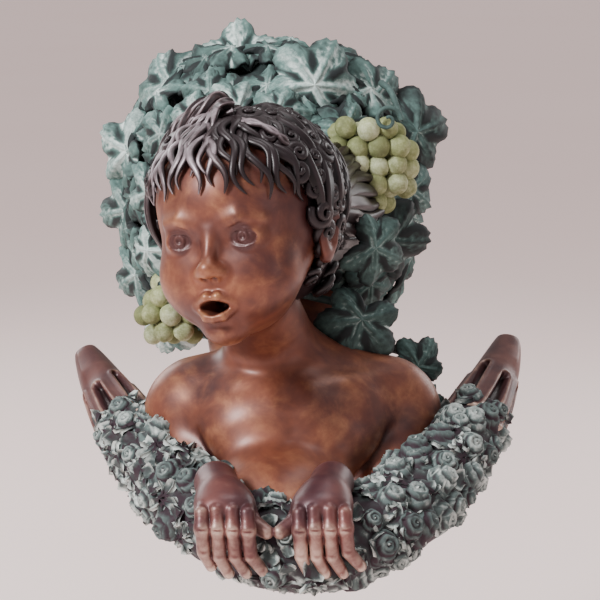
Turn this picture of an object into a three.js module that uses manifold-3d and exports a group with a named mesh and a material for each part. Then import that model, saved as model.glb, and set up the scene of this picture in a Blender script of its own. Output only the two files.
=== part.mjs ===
// A bronze wall fountain: a child leans out of a wreath of vine leaves and grapes, with both hands
// over the rim of a crescent that is wrapped in a garland of roses and ends in two smooth horns.
// Water leaves by the mouth. The whole is one casting, so it is one solid.
// Millimetres, +Z up. The wall is the plane y = 0, the front faces -Y, and the origin is on the wall,
// at the middle of the back.
import * as THREE from "three";
import { mergeVertices } from "three/addons/utils/BufferGeometryUtils.js";
import Module from "manifold-3d";

// The head, from chin to crown, and where its centre stands.
const HEAD_HEIGHT = 200;
const HEAD_AT = new THREE.Vector3(-43, -350, 76);
const HEAD_TURN = THREE.MathUtils.degToRad(-20); // to the viewer's left
const HEAD_LEAN = THREE.MathUtils.degToRad(-7); // crown to the viewer's left
const HEAD_LIFT = THREE.MathUtils.degToRad(4); // face raised

// The body leans forward from the wall, and its shoulders are the widest part.
const SHOULDER_SPAN = 270;
const SHOULDER_HEIGHT = -102;
const SHOULDER_REACH = 280;
const CHEST_DEPTH = 164;

// The crescent that the hands rest on, measured along its middle line.
const CRESCENT_SPAN = 414; // between the horns' tips
const CRESCENT_REACH = 456; // from the wall to its foremost point
const HORN_REACH = 140; // from the wall to the horns' tips
const HORN_HEIGHT = -66;
const HORN_TILT = 6; // how far the right horn rises over that, and the left one drops
const CRESCENT_ASIDE = 11; // how far the crescent's front stands to the right
const CRESCENT_FOOT = -184; // height of its lowest point
const CRESCENT_THICKNESS = 74;
const HORN_TIP_THICKNESS = 13;
const ROSE_WIDTH = 38;

// The backing that the wreath lies on, a low dome against the wall.
const WREATH_WIDTH = 300;
const WREATH_HEIGHT = 324;
const WREATH_DEPTH = 190;
const WREATH_AT = new THREE.Vector3(-24, 0, 58);
const LEAF_THICKNESS = 9;
const GRAPE_WIDTH = 21;
const GRAPE_SPACING = 20.6;

// The hands and their fingers.
const FINGER_THICKNESS = 13;
const FINGER_LENGTH = 62;
const HAND_OVERHANG = 28; // of the knuckles, beyond the crescent's middle line
const HAND_RISE = 53; // of the knuckles, above the crescent's lowest point

// The water way: a tapped recess in the back and an outlet in the mouth.
const INLET_WIDTH = 21;
const INLET_DEPTH = 40;
const INLET_DROP = 70; // below the origin
const OUTLET_WIDTH = 11;
const OUTLET_DEPTH = 34;

const wasm = await Module();
wasm.setup();

const at = (x, y, z) => new THREE.Vector3(x, y, z);
const mix = THREE.MathUtils.lerp;

// Signed distances, less than zero inside, as functions of a point.
function ellipsoid(centre, radii) {
  return (p) => {
    const q = p.clone().sub(centre).divide(radii);
    const length = q.length();
    const slope = q.divide(radii).length();
    return slope < 1e-9 ? -Math.min(radii.x, radii.y, radii.z) : (length * (length - 1)) / slope;
  };
}

const ball = (centre, radius) => ellipsoid(centre, at(radius, radius, radius));

// A rod with round ends whose radius runs from r0 to r1.
function rod(start, end, r0, r1) {
  const axis = end.clone().sub(start);
  return (p) => {
    const along = THREE.MathUtils.clamp(p.clone().sub(start).dot(axis) / axis.lengthSq(), 0, 1);
    return p.distanceTo(start.clone().addScaledVector(axis, along)) - mix(r0, r1, along);
  };
}

// Joins forms with a fillet of about the given width.
function blended(width, ...forms) {
  return (p) =>
    forms
      .map((form) => form(p))
      .reduce((a, b) => {
        const h = Math.max(width - Math.abs(a - b), 0) / width;
        return Math.min(a, b) - (h * h * width) / 4;
      });
}

// Takes a form away with softened edges.
function hollowed(form, width, ...hollows) {
  const rest = blended(width, (p) => -form(p), ...hollows);
  return (p) => -rest(p);
}

// The two copies of a form on either side of the plane x = 0.
function paired(make) {
  return [-1, 1].map(make);
}

// A closed skin over a form: a sphere's points, each moved along its ray to the form's surface.
// The pole looks along -Y, and rows crowd towards it as crowding grows past 1.
function skin(form, centre, columns, rows, reach, crowding = 1) {
  const sphere = new THREE.SphereGeometry(1, columns, rows);
  const place = sphere.getAttribute("position");
  const ray = at(0, 0, 0);
  for (let i = 0; i < place.count; i++) {
    ray.fromBufferAttribute(place, i);
    const turn = Math.atan2(ray.z, ray.x);
    const tilt = Math.PI * Math.pow(Math.acos(THREE.MathUtils.clamp(ray.y, -1, 1)) / Math.PI, crowding);
    ray.set(Math.sin(tilt) * Math.cos(turn), -Math.cos(tilt), -Math.sin(tilt) * Math.sin(turn));
    let near = 0;
    let far = reach;
    for (let step = 0; step < 22; step++) {
      const middle = (near + far) / 2;
      if (form(centre.clone().addScaledVector(ray, middle)) < 0) near = middle;
      else far = middle;
    }
    ray.multiplyScalar(near).add(centre);
    place.setXYZ(i, ray.x, ray.y, ray.z);
  }
  return sphere;
}

// A closed tube along a smooth curve. The radius is a function of the share of the length, and
// squash makes the section flatter along the curve's binormal.
function tube(points, radius, steps, sides, squash = 1) {
  const curve = new THREE.CatmullRomCurve3(points);
  const frames = curve.computeFrenetFrames(steps);
  const positions = [];
  const faces = [];
  for (let i = 0; i <= steps; i++) {
    const middle = curve.getPointAt(i / steps);
    for (let j = 0; j < sides; j++) {
      const turn = (2 * Math.PI * j) / sides;
      const r = radius(i / steps);
      const corner = middle
        .clone()
        .addScaledVector(frames.normals[i], r * Math.cos(turn))
        .addScaledVector(frames.binormals[i], r * squash * Math.sin(turn));
      positions.push(...corner.toArray());
    }
  }
  positions.push(...curve.getPointAt(0).addScaledVector(frames.tangents[0], -radius(0) * 0.6).toArray());
  positions.push(...curve.getPointAt(1).addScaledVector(frames.tangents[steps], radius(1) * 0.6).toArray());
  const first = sides * (steps + 1);
  for (let j = 0; j < sides; j++) {
    const next = (j + 1) % sides;
    for (let i = 0; i < steps; i++) {
      const a = i * sides + j;
      const b = i * sides + next;
      faces.push(a, b, b + sides, a, b + sides, a + sides);
    }
    faces.push(first, next, j, first + 1, steps * sides + j, steps * sides + next);
  }
  const geometry = new THREE.BufferGeometry();
  geometry.setAttribute("position", new THREE.Float32BufferAttribute(positions, 3));
  geometry.setIndex(faces);
  return geometry;
}

// A vine leaf about its stalk, in its own plane: +Y along the middle lobe and +Z out of its face.
// Each lobe is a tip between two shoulders, and a sinus parts it from the next.
const LOBES = [
  { turn: -2.15, length: 0.82 },
  { turn: -1.1, length: 0.96 },
  { turn: 0, length: 1.08 },
  { turn: 1.1, length: 0.96 },
  { turn: 2.15, length: 0.82 },
];

function leafRim() {
  const rim = LOBES.flatMap(({ turn, length }) => [
    { turn: turn - 0.3, share: 0.84 * length, drop: 0.2 },
    { turn, share: length, drop: 0.34 },
    { turn: turn + 0.3, share: 0.84 * length, drop: 0.2 },
    { turn: turn + 0.54, share: 0.66, drop: 0.1 },
  ]);
  rim[rim.length - 1] = { turn: Math.PI, share: 0.3, drop: 0 };
  return rim;
}

function leaf(radius) {
  const rim = leafRim();
  const corners = rim.length;
  const positions = [0, 0, 0];
  const edge = rim.map(({ turn, share, drop }) => [
    Math.sin(turn) * share * radius,
    Math.cos(turn) * share * radius,
    -drop * radius,
  ]);
  edge.forEach((corner) => positions.push(...corner));
  edge.forEach(([x, y, z]) => positions.push(x * 0.94, y * 0.94, z - LEAF_THICKNESS));
  positions.push(0, 0, -LEAF_THICKNESS - 2);
  const faces = [];
  const under = 1 + 2 * corners;
  for (let i = 0; i < corners; i++) {
    const a = 1 + i;
    const b = 1 + ((i + 1) % corners);
    faces.push(0, b, a);
    faces.push(a, b, b + corners, a, b + corners, a + corners);
    faces.push(a + corners, b + corners, under);
  }
  const geometry = new THREE.BufferGeometry();
  geometry.setAttribute("position", new THREE.Float32BufferAttribute(positions, 3));
  geometry.setIndex(faces);
  return geometry;
}

// A rose seen from its open side: a low cup with a rolled bud in it, along +Z.
function rose(width) {
  const r = width / 2;
  const profile = [
    [0, -0.7],
    [0.75, -0.6],
    [1, 0.15],
    [0.6, 0.4],
    [0.45, 0.15],
    [0, 0.6],
  ].map(([across, up]) => new THREE.Vector2(across * r, up * r));
  return new THREE.LatheGeometry(profile, 6).rotateX(Math.PI / 2);
}

// Turns and moves a shape whose face looks along its own +Z, so that the face looks along normal
// and its own +Y lies as near as it can to the direction up.
function placed(geometry, centre, normal, up) {
  const z = normal.clone().normalize();
  const x = up.clone().cross(z).normalize();
  const y = z.clone().cross(x);
  return geometry.applyMatrix4(new THREE.Matrix4().makeBasis(x, y, z).setPosition(centre));
}

function solid(geometry) {
  geometry.deleteAttribute("normal");
  geometry.deleteAttribute("uv");
  const merged = mergeVertices(geometry, 1e-3);
  return new wasm.Manifold(
    new wasm.Mesh({
      numProp: 3,
      vertProperties: merged.getAttribute("position").array,
      triVerts: new Uint32Array(merged.getIndex().array),
    }),
  );
}

// The head in its own frame, in shares of a head 200 mm high: +Z to the crown, -Y out of the face.
function headForm() {
  const eyes = paired((side) => ball(at(30 * side, -67, -3), 14));
  const sockets = paired((side) => ellipsoid(at(31 * side, -94, -1), at(20, 17, 13)));
  const lips = [
    ...paired((side) => rod(at(0, -88, -53), at(20 * side, -80, -59), 4.5, 3)),
    ...paired((side) => rod(at(0, -86, -69), at(18 * side, -79, -62), 5.5, 3)),
  ];
  const face = blended(
    16,
    ellipsoid(at(0, 6, 16), at(70, 84, 76)),
    ellipsoid(at(0, -30, -28), at(53, 52, 62)),
    ellipsoid(at(0, -36, 32), at(54, 46, 42)),
    ...paired((side) => ball(at(30 * side, -55, -38), 26)),
    ellipsoid(at(0, -66, -58), at(28, 22, 22)),
    ellipsoid(at(0, -66, -84), at(18, 18, 14)),
  );
  const nose = blended(
    6,
    rod(at(0, -80, 4), at(0, -99, -31), 6, 9),
    ...paired((side) => ball(at(10 * side, -90, -35), 7)),
  );
  const features = blended(7, hollowed(face, 12, ...sockets), nose, ...lips);
  return hollowed(blended(3, features, ...eyes), 3, ellipsoid(at(0, -88, -61), at(15, 20, 5.5)));
}

const earForm = (side) =>
  tube(
    [at(72, -6, 6), at(80, 2, 8), at(82, 8, -8), at(79, 4, -24), at(70, -6, -30)].map((p) =>
      p.setX(p.x * side),
    ),
    () => 6,
    4,
    5,
  );

// Locks of hair, each a bent tapering tube from its root to its tip in the head's frame: a fringe
// over the forehead, a roll over the crown and curls down both sides.
function lockPaths() {
  const paths = [];
  const fringe = 5;
  for (let i = 0; i < fringe; i++) {
    const across = mix(-1, 1, i / (fringe - 1));
    const swing = i % 2 ? 7 : -7;
    paths.push([
      at(across * 30 - 6, -50, 84),
      at(across * 48 + swing, -76, 64),
      at(across * 58 - swing, -84 + 16 * across ** 2, 44),
      at(across * 62 + swing * 0.6, -84 + 24 * across ** 2, 30),
    ]);
  }
  for (const side of [-1, 1]) {
    const curls = 3;
    for (let i = 0; i < curls; i++) {
      const down = i / (curls - 1);
      paths.push([
        at(side * 66, mix(-36, 30, down), mix(62, 20, down)),
        at(side * 80, mix(-44, 24, down), mix(44, -4, down)),
        at(side * 76, mix(-48, 30, down), mix(24, -34, down)),
        at(side * 70, mix(-40, 22, down), mix(12, -52, down)),
      ]);
    }
    paths.push([
      at(side * 5 - 8, -46 + side * 3, 92),
      at(side * 26 - 4, -54, 92),
      at(side * 52, -44, 74),
      at(side * 70, -30, 56),
    ]);
  }
  return paths;
}

function headSolids() {
  const place = new THREE.Matrix4()
    .makeRotationFromEuler(new THREE.Euler(-HEAD_LIFT, HEAD_LEAN, HEAD_TURN, "ZYX"))
    .scale(at(1, 1, 1).multiplyScalar(HEAD_HEIGHT / 200))
    .setPosition(HEAD_AT);
  const hair = blended(
    24,
    ellipsoid(at(0, 16, 26), at(80, 84, 78)),
    rod(at(0, 40, -4), at(-10, 190, 0), 58, 78),
  );
  const lockRadius = (share) => mix(11, 3.5, share ** 1.5);
  const shapes = [
    skin(headForm(), at(0, -20, -20), 26, 18, 0.8 * HEAD_HEIGHT, 1.35),
    skin(hair, at(0, 20, 18), 16, 9, 0.8 * HEAD_HEIGHT),
    ...paired(earForm),
    ...lockPaths().map((path) => tube(path, lockRadius, 3, 4, 0.8)),
  ];
  const outlet = new THREE.CylinderGeometry(OUTLET_WIDTH / 2, OUTLET_WIDTH / 2, OUTLET_DEPTH, 12);
  outlet.translate(0, -97 + OUTLET_DEPTH / 2, -61);
  return {
    added: shapes.map((shape) => solid(shape.applyMatrix4(place))),
    outlet: solid(outlet.applyMatrix4(place)),
  };
}

// The neck, shoulders, chest and the trunk that runs back to the wall.
function bodySolid() {
  const middle = -2;
  const reach = (share) => -SHOULDER_REACH * share;
  const half = SHOULDER_SPAN / 2;
  const shoulder = 0.27 * half;
  const neckFoot = at(middle - 8, reach(1), SHOULDER_HEIGHT + 40);
  const neckTop = HEAD_AT.clone().add(at(7, 24, -68));
  const form = blended(
    26,
    ellipsoid(at(middle, reach(1.04), SHOULDER_HEIGHT + 4), at(0.76 * half, CHEST_DEPTH / 2, 60)),
    ellipsoid(at(middle, reach(0.92), SHOULDER_HEIGHT - 30), at(0.62 * half, CHEST_DEPTH / 2, 40)),
    ...paired((side) => ball(at(middle + side * (half - shoulder), reach(1), SHOULDER_HEIGHT), shoulder)),
    ellipsoid(at(middle - 6, reach(1.36), SHOULDER_HEIGHT - 48), at(0.42 * half, 46, 32)),
    ...paired((side) =>
      rod(neckFoot, at(middle + side * 0.66 * half, reach(0.98), SHOULDER_HEIGHT + 14), 30, 26),
    ),
    rod(neckFoot, neckTop, 40, 38),
    rod(at(middle, reach(0.75), SHOULDER_HEIGHT), at(-12, -50, -30), 72, 86),
  );
  return solid(skin(form, at(middle, reach(0.75), SHOULDER_HEIGHT), 18, 13, 1.3 * SHOULDER_REACH));
}

// Points on the crescent's middle line: share 0 is the left horn's tip and 1 the right one's.
function crescentPoint(share) {
  const turn = Math.PI * share;
  const sweep = Math.sin(turn);
  return at(
    (-CRESCENT_SPAN / 2) * Math.cos(turn) + CRESCENT_ASIDE * sweep,
    -mix(HORN_REACH, CRESCENT_REACH, sweep ** 2.3),
    mix(HORN_HEIGHT, CRESCENT_FOOT, sweep ** 1.6) - HORN_TILT * Math.cos(turn),
  );
}

// The garland runs between these shares of the crescent, and the horns are what is left.
const GARLAND_START = 0.2;
const GARLAND_END = 1 - GARLAND_START;

function crescentRadius(share) {
  const fromTip = Math.min(share, 1 - share) / GARLAND_START;
  const grown = Math.min(fromTip, 1) ** 1.1;
  const end = 0.38 * CRESCENT_THICKNESS;
  return fromTip < 1
    ? mix(HORN_TIP_THICKNESS / 2, end, grown)
    : mix(end, CRESCENT_THICKNESS / 2, Math.min((fromTip - 1) / 0.6, 1));
}

// A place on the crescent's skin: around 0 is its front, and it grows upwards over the top.
function onCrescent(share, around) {
  const middle = crescentPoint(share);
  const along = crescentPoint(share + 0.01).sub(crescentPoint(share - 0.01)).normalize();
  const up = at(0, 0, 1).cross(along).cross(along).negate().normalize();
  const out = along.clone().cross(up).normalize();
  const normal = out.multiplyScalar(Math.cos(around)).addScaledVector(up, Math.sin(around));
  return { place: middle.addScaledVector(normal, crescentRadius(share) * 0.9), normal, along };
}

function crescentSolids() {
  const line = Array.from({ length: 13 }, (_, i) => crescentPoint(i / 12));
  const solids = [solid(tube(line, crescentRadius, 18, 8))];
  const columns = 6;
  for (let i = 0; i < columns; i++) {
    for (const row of [0, 1]) {
      const share = mix(GARLAND_START + 0.03, GARLAND_END - 0.03, (i + 0.5 * row) / (columns - 0.5));
      const middle = Math.abs(share - 0.5) < 0.15;
      const around = row ? -0.55 : middle ? -0.2 : 0.6;
      const { place, normal, along } = onCrescent(share, around);
      solids.push(solid(placed(rose(ROSE_WIDTH * (row ? 0.9 : 1)), place, normal, along)));
    }
  }
  return solids;
}

// Each horn ends in two lobes that lie over the garland like the sepals of a bud.
function hornLobes(side) {
  return [-0.4, 1].map((around) => {
    const shares = [0.12, 0.18, 0.235].map((share) => (side < 0 ? share : 1 - share));
    const path = shares.map((share) => onCrescent(share, around).place);
    return solid(tube(path, (share) => mix(4, 8, share), 3, 5, 0.8));
  });
}

// One arm: it leaves the shoulder, folds under the chest and ends in a hand over the rim.
function armSolids(side) {
  const knuckles = at(-18 + side * 41, -CRESCENT_REACH - HAND_OVERHANG, CRESCENT_FOOT + HAND_RISE);
  const shoulder = at(side * 0.36 * SHOULDER_SPAN, -SHOULDER_REACH, SHOULDER_HEIGHT - 4);
  const elbow = shoulder.clone().add(at(side * -14, -40, -42));
  const wrist = knuckles.clone().add(at(side * 10, 44, 0));
  const shapes = [
    tube([shoulder, shoulder.clone().lerp(elbow, 0.5), elbow], () => 31, 2, 8),
    tube([elbow, elbow.clone().lerp(wrist, 0.5), wrist], (share) => mix(30, 20, share), 3, 8),
    tube([wrist, wrist.clone().lerp(knuckles, 0.5), knuckles], (share) => mix(19, 26, share), 3, 9, 0.6),
  ];
  const fingers = 4;
  for (let i = 0; i < fingers; i++) {
    const across = (i - (fingers - 1) / 2) * FINGER_THICKNESS * 1.06;
    const start = knuckles.clone().add(at(across, -2, -3));
    const length = FINGER_LENGTH * (i === 0 || i === fingers - 1 ? 0.9 : 1);
    const path = [
      start.clone().add(at(0, 14, 0)),
      start.clone().add(at(0, -10, -8)),
      start.clone().add(at(3, -12, -0.45 * length)),
      start.clone().add(at(8, 2, -0.95 * length)),
    ];
    shapes.push(tube(path, (share) => (FINGER_THICKNESS / 2) * mix(1.06, 0.8, share), 4, 6));
  }
  const thumb = [at(-side * 26, 20, -12), at(-side * 35, -2, -34), at(-side * 28, -4, -52)];
  shapes.push(tube(thumb.map((p) => p.add(knuckles)), (share) => mix(9, 7, share), 4, 6));
  return shapes.map(solid);
}

// The dome that carries the wreath, squarer than an ellipse as seen from the front.
function wreathDepthShare(x, z) {
  const flat = (Math.abs(x) / (WREATH_WIDTH / 2)) ** 2.4 + (Math.abs(z) / (WREATH_HEIGHT / 2)) ** 2.4;
  return flat ** (1 / 2.4);
}

function domeSolid() {
  const form = (p) =>
    Math.hypot(wreathDepthShare(p.x - WREATH_AT.x, p.z - WREATH_AT.z), (p.y - WREATH_AT.y) / WREATH_DEPTH) - 1;
  return solid(skin(form, WREATH_AT.clone(), 18, 10, 1.25 * WREATH_HEIGHT));
}

// How far the dome stands out from the wall at a place on it.
function wreathDepth(x, z) {
  const share = wreathDepthShare(x - WREATH_AT.x, z - WREATH_AT.z);
  return WREATH_DEPTH * Math.sqrt(Math.max(0.1, 1 - share ** 2));
}

// The wreath's leaves: the centre across and up from the dome's own centre, the radius, which way
// the middle lobe points, how far the leaf stands off the dome, and how its face looks aside and up.
const WREATH_LEAVES = [
  { x: -98, z: 118, radius: 52, points: 128, stand: 4, aside: -0.35, up: 0.4 },
  { x: -32, z: 144, radius: 46, points: 98, stand: -14, aside: -0.1, up: 0.4 },
  { x: 42, z: 124, radius: 56, points: 62, stand: 20, aside: 0.1, up: 0.4 },
  { x: 100, z: 110, radius: 46, points: 40, stand: 6, aside: 0.4, up: 0.4 },
  { x: 142, z: 74, radius: 50, points: 12, stand: 18, aside: 0.5, up: 0.1 },
  { x: 136, z: 20, radius: 40, points: -30, stand: 14, aside: 0.6, up: 0 },
  { x: 114, z: -22, radius: 48, points: -8, stand: 34, aside: 0.35, up: 0 },
  { x: -140, z: 54, radius: 46, points: 160, stand: 8, aside: -0.5, up: 0.1 },
  { x: -144, z: -6, radius: 44, points: 192, stand: 6, aside: -0.5, up: 0 },
  { x: -134, z: -70, radius: 42, points: 208, stand: 8, aside: -0.5, up: -0.1 },
  { x: -104, z: -116, radius: 38, points: 245, stand: 18, aside: -0.35, up: -0.1 },
  { x: -30, z: 104, radius: 38, points: 195, stand: 12, aside: 0, up: 0.3 },
];
// Leaves that hang on stalks beside the shoulder, measured from it.
const SHOULDER_LEAVES = [
  { x: -42, y: 0, z: 84, radius: 46, points: -110, aside: 0.12, up: 0.25 },
  { x: 12, y: 48, z: 30, radius: 32, points: 50, aside: 0.3, up: 0.2 },
  { x: 22, y: 40, z: -2, radius: 24, points: -70, aside: 0.5, up: 0.1 },
];

function leafSolid({ centre, radius, points, aside, up }) {
  const turn = THREE.MathUtils.degToRad(points);
  return solid(
    placed(leaf(radius), centre, at(aside, -1, up), at(Math.cos(turn), 0, Math.sin(turn))),
  );
}

function leafSolids() {
  const onDome = WREATH_LEAVES.map((one) => {
    const x = WREATH_AT.x + (one.x * WREATH_WIDTH) / 300;
    const z = WREATH_AT.z + (one.z * WREATH_HEIGHT) / 324;
    return { ...one, centre: at(x, -wreathDepth(x, z) - one.stand - 4, z) };
  });
  const shoulder = at(0.38 * SHOULDER_SPAN, -SHOULDER_REACH, SHOULDER_HEIGHT);
  const hung = SHOULDER_LEAVES.map((one) => ({ ...one, centre: shoulder.clone().add(at(one.x, one.y, one.z)) }));
  const stalks = hung.map(({ centre }) => {
    const foot = at(centre.x - 64, centre.y + 90, centre.z + 10);
    return solid(tube([centre, centre.clone().add(at(0, 30, 4)), foot], () => LEAF_THICKNESS * 0.8, 3, 5));
  });
  return [...[...onDome, ...hung].map(leafSolid), ...stalks];
}

// A bunch of grapes: rows of balls, closest together at its foot.
function grapeSolids(centre, rows) {
  const solids = [];
  rows.forEach((count, row) => {
    for (let i = 0; i < count; i++) {
      const across = (i - (count - 1) / 2) * GRAPE_SPACING;
      const crown = 0.45 * GRAPE_SPACING * Math.cos((across / (count * GRAPE_SPACING)) * Math.PI);
      const grape = new THREE.SphereGeometry(GRAPE_WIDTH / 2, 7, 5).rotateX(Math.PI / 2);
      const drop = ((rows.length - 1) / 2 - row) * GRAPE_SPACING * 0.86;
      grape.translate(centre.x + across, centre.y - crown, centre.z + drop);
      solids.push(solid(grape));
    }
  });
  return solids;
}

function bunch(x, z, rows) {
  const place = at(WREATH_AT.x + x, 0, WREATH_AT.z + z);
  const depth = wreathDepth(place.x, place.z);
  const core = new THREE.SphereGeometry(GRAPE_SPACING, 6, 4).rotateX(Math.PI / 2);
  core.scale(Math.max(...rows) * 0.5, 1, rows.length * 0.5);
  core.translate(place.x, -depth + 4, place.z);
  return [solid(core), ...grapeSolids(place.setY(-depth - 10), rows)];
}

const head = headSolids();
const inlet = new THREE.CylinderGeometry(INLET_WIDTH / 2, INLET_WIDTH / 2, 2 * INLET_DEPTH, 16);
inlet.translate(0, 0, -INLET_DROP);
const BEHIND = CRESCENT_REACH; // a block that covers all that the forms leave behind the wall
const behind = new THREE.BoxGeometry(4 * BEHIND, BEHIND, 4 * BEHIND).translate(0, BEHIND / 2, 0);

const casting = wasm.Manifold.union([
  domeSolid(),
  bodySolid(),
  ...head.added,
  ...armSolids(-1),
  ...armSolids(1),
  ...crescentSolids(),
  ...hornLobes(-1),
  ...hornLobes(1),
  ...leafSolids(),
  ...bunch(98, 44, [2, 3, 4, 3, 2]),
  ...bunch(-101, -82, [1, 2, 2, 1]),
])
  .subtract(head.outlet)
  .subtract(solid(inlet))
  .subtract(solid(behind));

function bronzeMesh(form) {
  const made = form.getMesh();
  const geometry = new THREE.BufferGeometry();
  geometry.setAttribute("position", new THREE.BufferAttribute(made.vertProperties, 3));
  geometry.setIndex(new THREE.BufferAttribute(made.triVerts, 1));
  geometry.computeVertexNormals();
  const bronze = new THREE.MeshStandardMaterial({ color: 0x6e4330, roughness: 0.38, metalness: 0.9 });
  return new THREE.Mesh(geometry, bronze);
}

const fountain = bronzeMesh(casting);
fountain.name = "wall_fountain";

export default new THREE.Group().add(fountain);
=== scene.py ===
"""Looks for a bronze wall fountain: a child's half figure in a wreath, over a garlanded crescent."""

import math

import bpy
import numpy as np
from mathutils import Matrix


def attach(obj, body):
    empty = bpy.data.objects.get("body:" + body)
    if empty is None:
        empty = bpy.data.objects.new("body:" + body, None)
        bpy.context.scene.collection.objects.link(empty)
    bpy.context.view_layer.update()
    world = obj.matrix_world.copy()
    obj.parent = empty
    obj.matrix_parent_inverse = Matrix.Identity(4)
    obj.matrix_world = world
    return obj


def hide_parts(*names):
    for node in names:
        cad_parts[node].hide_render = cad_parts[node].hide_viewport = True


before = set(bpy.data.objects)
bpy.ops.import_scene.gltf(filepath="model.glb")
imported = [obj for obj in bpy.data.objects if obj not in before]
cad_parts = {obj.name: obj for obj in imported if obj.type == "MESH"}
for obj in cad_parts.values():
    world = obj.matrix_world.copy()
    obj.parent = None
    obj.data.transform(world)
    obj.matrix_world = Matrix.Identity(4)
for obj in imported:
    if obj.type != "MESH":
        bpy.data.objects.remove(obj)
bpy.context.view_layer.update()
NODE = "wall_fountain"

bl_info = {
    "name": "Bronze wall fountain",
    "version": (1, 0, 0),
    "blender": (4, 5, 0),
    "location": "3D View > Sidebar > Fountain",
    "description": "Builds the carved bronze skin, the patina and the studio of a wall fountain",
    "category": "Add Mesh",
}

MM = 0.001
FULL_TURN = 6.28  # as far as a random turn goes, in radians

# Shapes are worked out in millimetres and become metres when they are made into meshes.


def point(x, y, z):
    return np.array([x, y, z], np.float32)


def ramp(low, high, value):
    """A smooth step from 0 at low to 1 at high."""
    t = np.clip((value - low) / (high - low), 0, 1)
    return t * t * (3 - 2 * t)


def length(v):
    return np.sqrt((v * v).sum(-1))


def unit(v):
    v = np.asarray(v, np.float32)
    return v / (np.sqrt((v * v).sum(-1, keepdims=True)) + 1e-9)


# Forms: signed distances in millimetres at an array of points, less than zero inside.


def ellipsoid(p, centre, radii):
    q = (p - np.float32(centre)) / np.float32(radii)
    k0 = length(q)
    k1 = length(q / np.float32(radii)) + 1e-6
    return k0 * (k0 - 1) / k1


def rod(p, start, end, r0, r1=None):
    """A rod with round ends whose radius runs from r0 to r1."""
    start = np.float32(start)
    axis = np.float32(end) - start
    t = np.clip((p - start) @ axis / (axis @ axis), 0, 1)
    r1 = r0 if r1 is None else r1
    return length(p - start - t[:, None] * axis) - (r0 + (r1 - r0) * t)


def bent_rod(p, points, radii):
    """A rod with round joints through the points."""
    runs = zip(points, points[1:], radii, radii[1:])
    return np.minimum.reduce([rod(p, start, end, r0, r1) for start, end, r0, r1 in runs])


def fuse(width, *forms):
    """Joins forms with a fillet of about that width."""
    whole = forms[0]
    for form in forms[1:]:
        h = np.maximum(width - np.abs(whole - form), 0) / width
        whole = np.minimum(whole, form) - h * h * width / 4
    return whole


def carve(width, form, *cuts):
    """Takes cuts out of a form, with softened edges."""
    return -fuse(width, -form, *cuts)


def turned(p, at, turn):
    """Points in the frame of a thing that stands at a place with a turn."""
    return (p - np.float32(at)) @ np.float32(turn)


def mirrored(p):
    """Points with their x folded to the right, so that one form makes a pair."""
    return np.column_stack([np.abs(p[:, 0]), p[:, 1:]])


def turn_matrix(x=0.0, y=0.0, z=0.0):
    """The turn about x, then y, then z, in degrees."""
    x, y, z = (math.radians(a) for a in (x, y, z))
    rx = np.array([[1, 0, 0], [0, math.cos(x), -math.sin(x)], [0, math.sin(x), math.cos(x)]])
    ry = np.array([[math.cos(y), 0, math.sin(y)], [0, 1, 0], [-math.sin(y), 0, math.cos(y)]])
    rz = np.array([[math.cos(z), -math.sin(z), 0], [math.sin(z), math.cos(z), 0], [0, 0, 1]])
    return rz @ ry @ rx


# Skins: a form's surface as a mesh of four-sided faces.

BLOCK = 8  # cells along a side of a block
BATCH = 1500  # blocks that are worked out together


def sample(form, low, high, cell):
    """The form's values on a grid, worked out in full only in blocks that its surface may cross."""
    low = np.float32(low)
    blocks = np.ceil((np.float32(high) - low) / (cell * BLOCK)).astype(int)
    corners = np.argwhere(np.ones(blocks, bool))
    middles = low + (corners + 0.5) * (cell * BLOCK)
    coarse = form(middles.astype(np.float32))
    volume = np.empty(blocks * BLOCK, np.float32)
    tiles = volume.reshape(blocks[0], BLOCK, blocks[1], BLOCK, blocks[2], BLOCK)
    tiles[:] = coarse.reshape(blocks)[:, None, :, None, :, None]
    near = corners[np.abs(coarse) < cell * BLOCK * 1.25]
    steps = np.argwhere(np.ones((BLOCK, BLOCK, BLOCK), bool))
    for first in range(0, len(near), BATCH):
        some = near[first : first + BATCH]
        spots = low + ((some[:, None] * BLOCK + steps[None]) * cell).reshape(-1, 3)
        values = form(spots.astype(np.float32)).reshape(-1, BLOCK, BLOCK, BLOCK)
        tiles[some[:, 0], :, some[:, 1], :, some[:, 2], :] = values
    return volume


def skin(form, low, high, cell):
    """Vertices and quads of a form's surface, with the vertices drawn onto it."""
    volume = sample(form, low, high, cell)
    shape = np.array(volume.shape)
    cells, crossings = [], []
    for axis in range(3):
        step, side, up = np.roll(np.eye(3, dtype=int), -axis, 0)
        spots = np.argwhere(np.diff(volume < 0, axis=axis))
        spots = spots[(spots > 0).all(1) & (spots < shape - 1).all(1)]
        a, b = volume[tuple(spots.T)], volume[tuple((spots + step).T)]
        crossings.append(np.repeat(spots + (a / (a - b))[:, None] * step, 4, 0))
        ring = np.stack([spots, spots - side, spots - side - up, spots - up], 1)
        ring[a > 0] = ring[a > 0][:, ::-1]
        cells.append(np.ravel_multi_index(ring.reshape(-1, 3).T, shape))
    crossings = np.concatenate(crossings)
    index = np.unique(np.concatenate(cells), return_inverse=True)[1].reshape(-1)
    count = np.bincount(index)
    places = np.stack([np.bincount(index, crossings[:, k]) / count for k in range(3)], 1)
    points = (np.float32(low) + places * cell).astype(np.float32)
    nudge = 0.2 * cell
    for _ in range(2):
        value = form(points)
        slope = np.stack([form(points + step) - value for step in nudge * np.eye(3, dtype=np.float32)], 1)
        slope /= nudge
        size = np.maximum((slope * slope).sum(1), 0.2)
        points = points - np.clip(value / size, -0.6 * cell, 0.6 * cell)[:, None] * slope
    return points, index.reshape(-1, 4)


# Meshes made of rows, such as tubes, leaves and petals.


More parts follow.
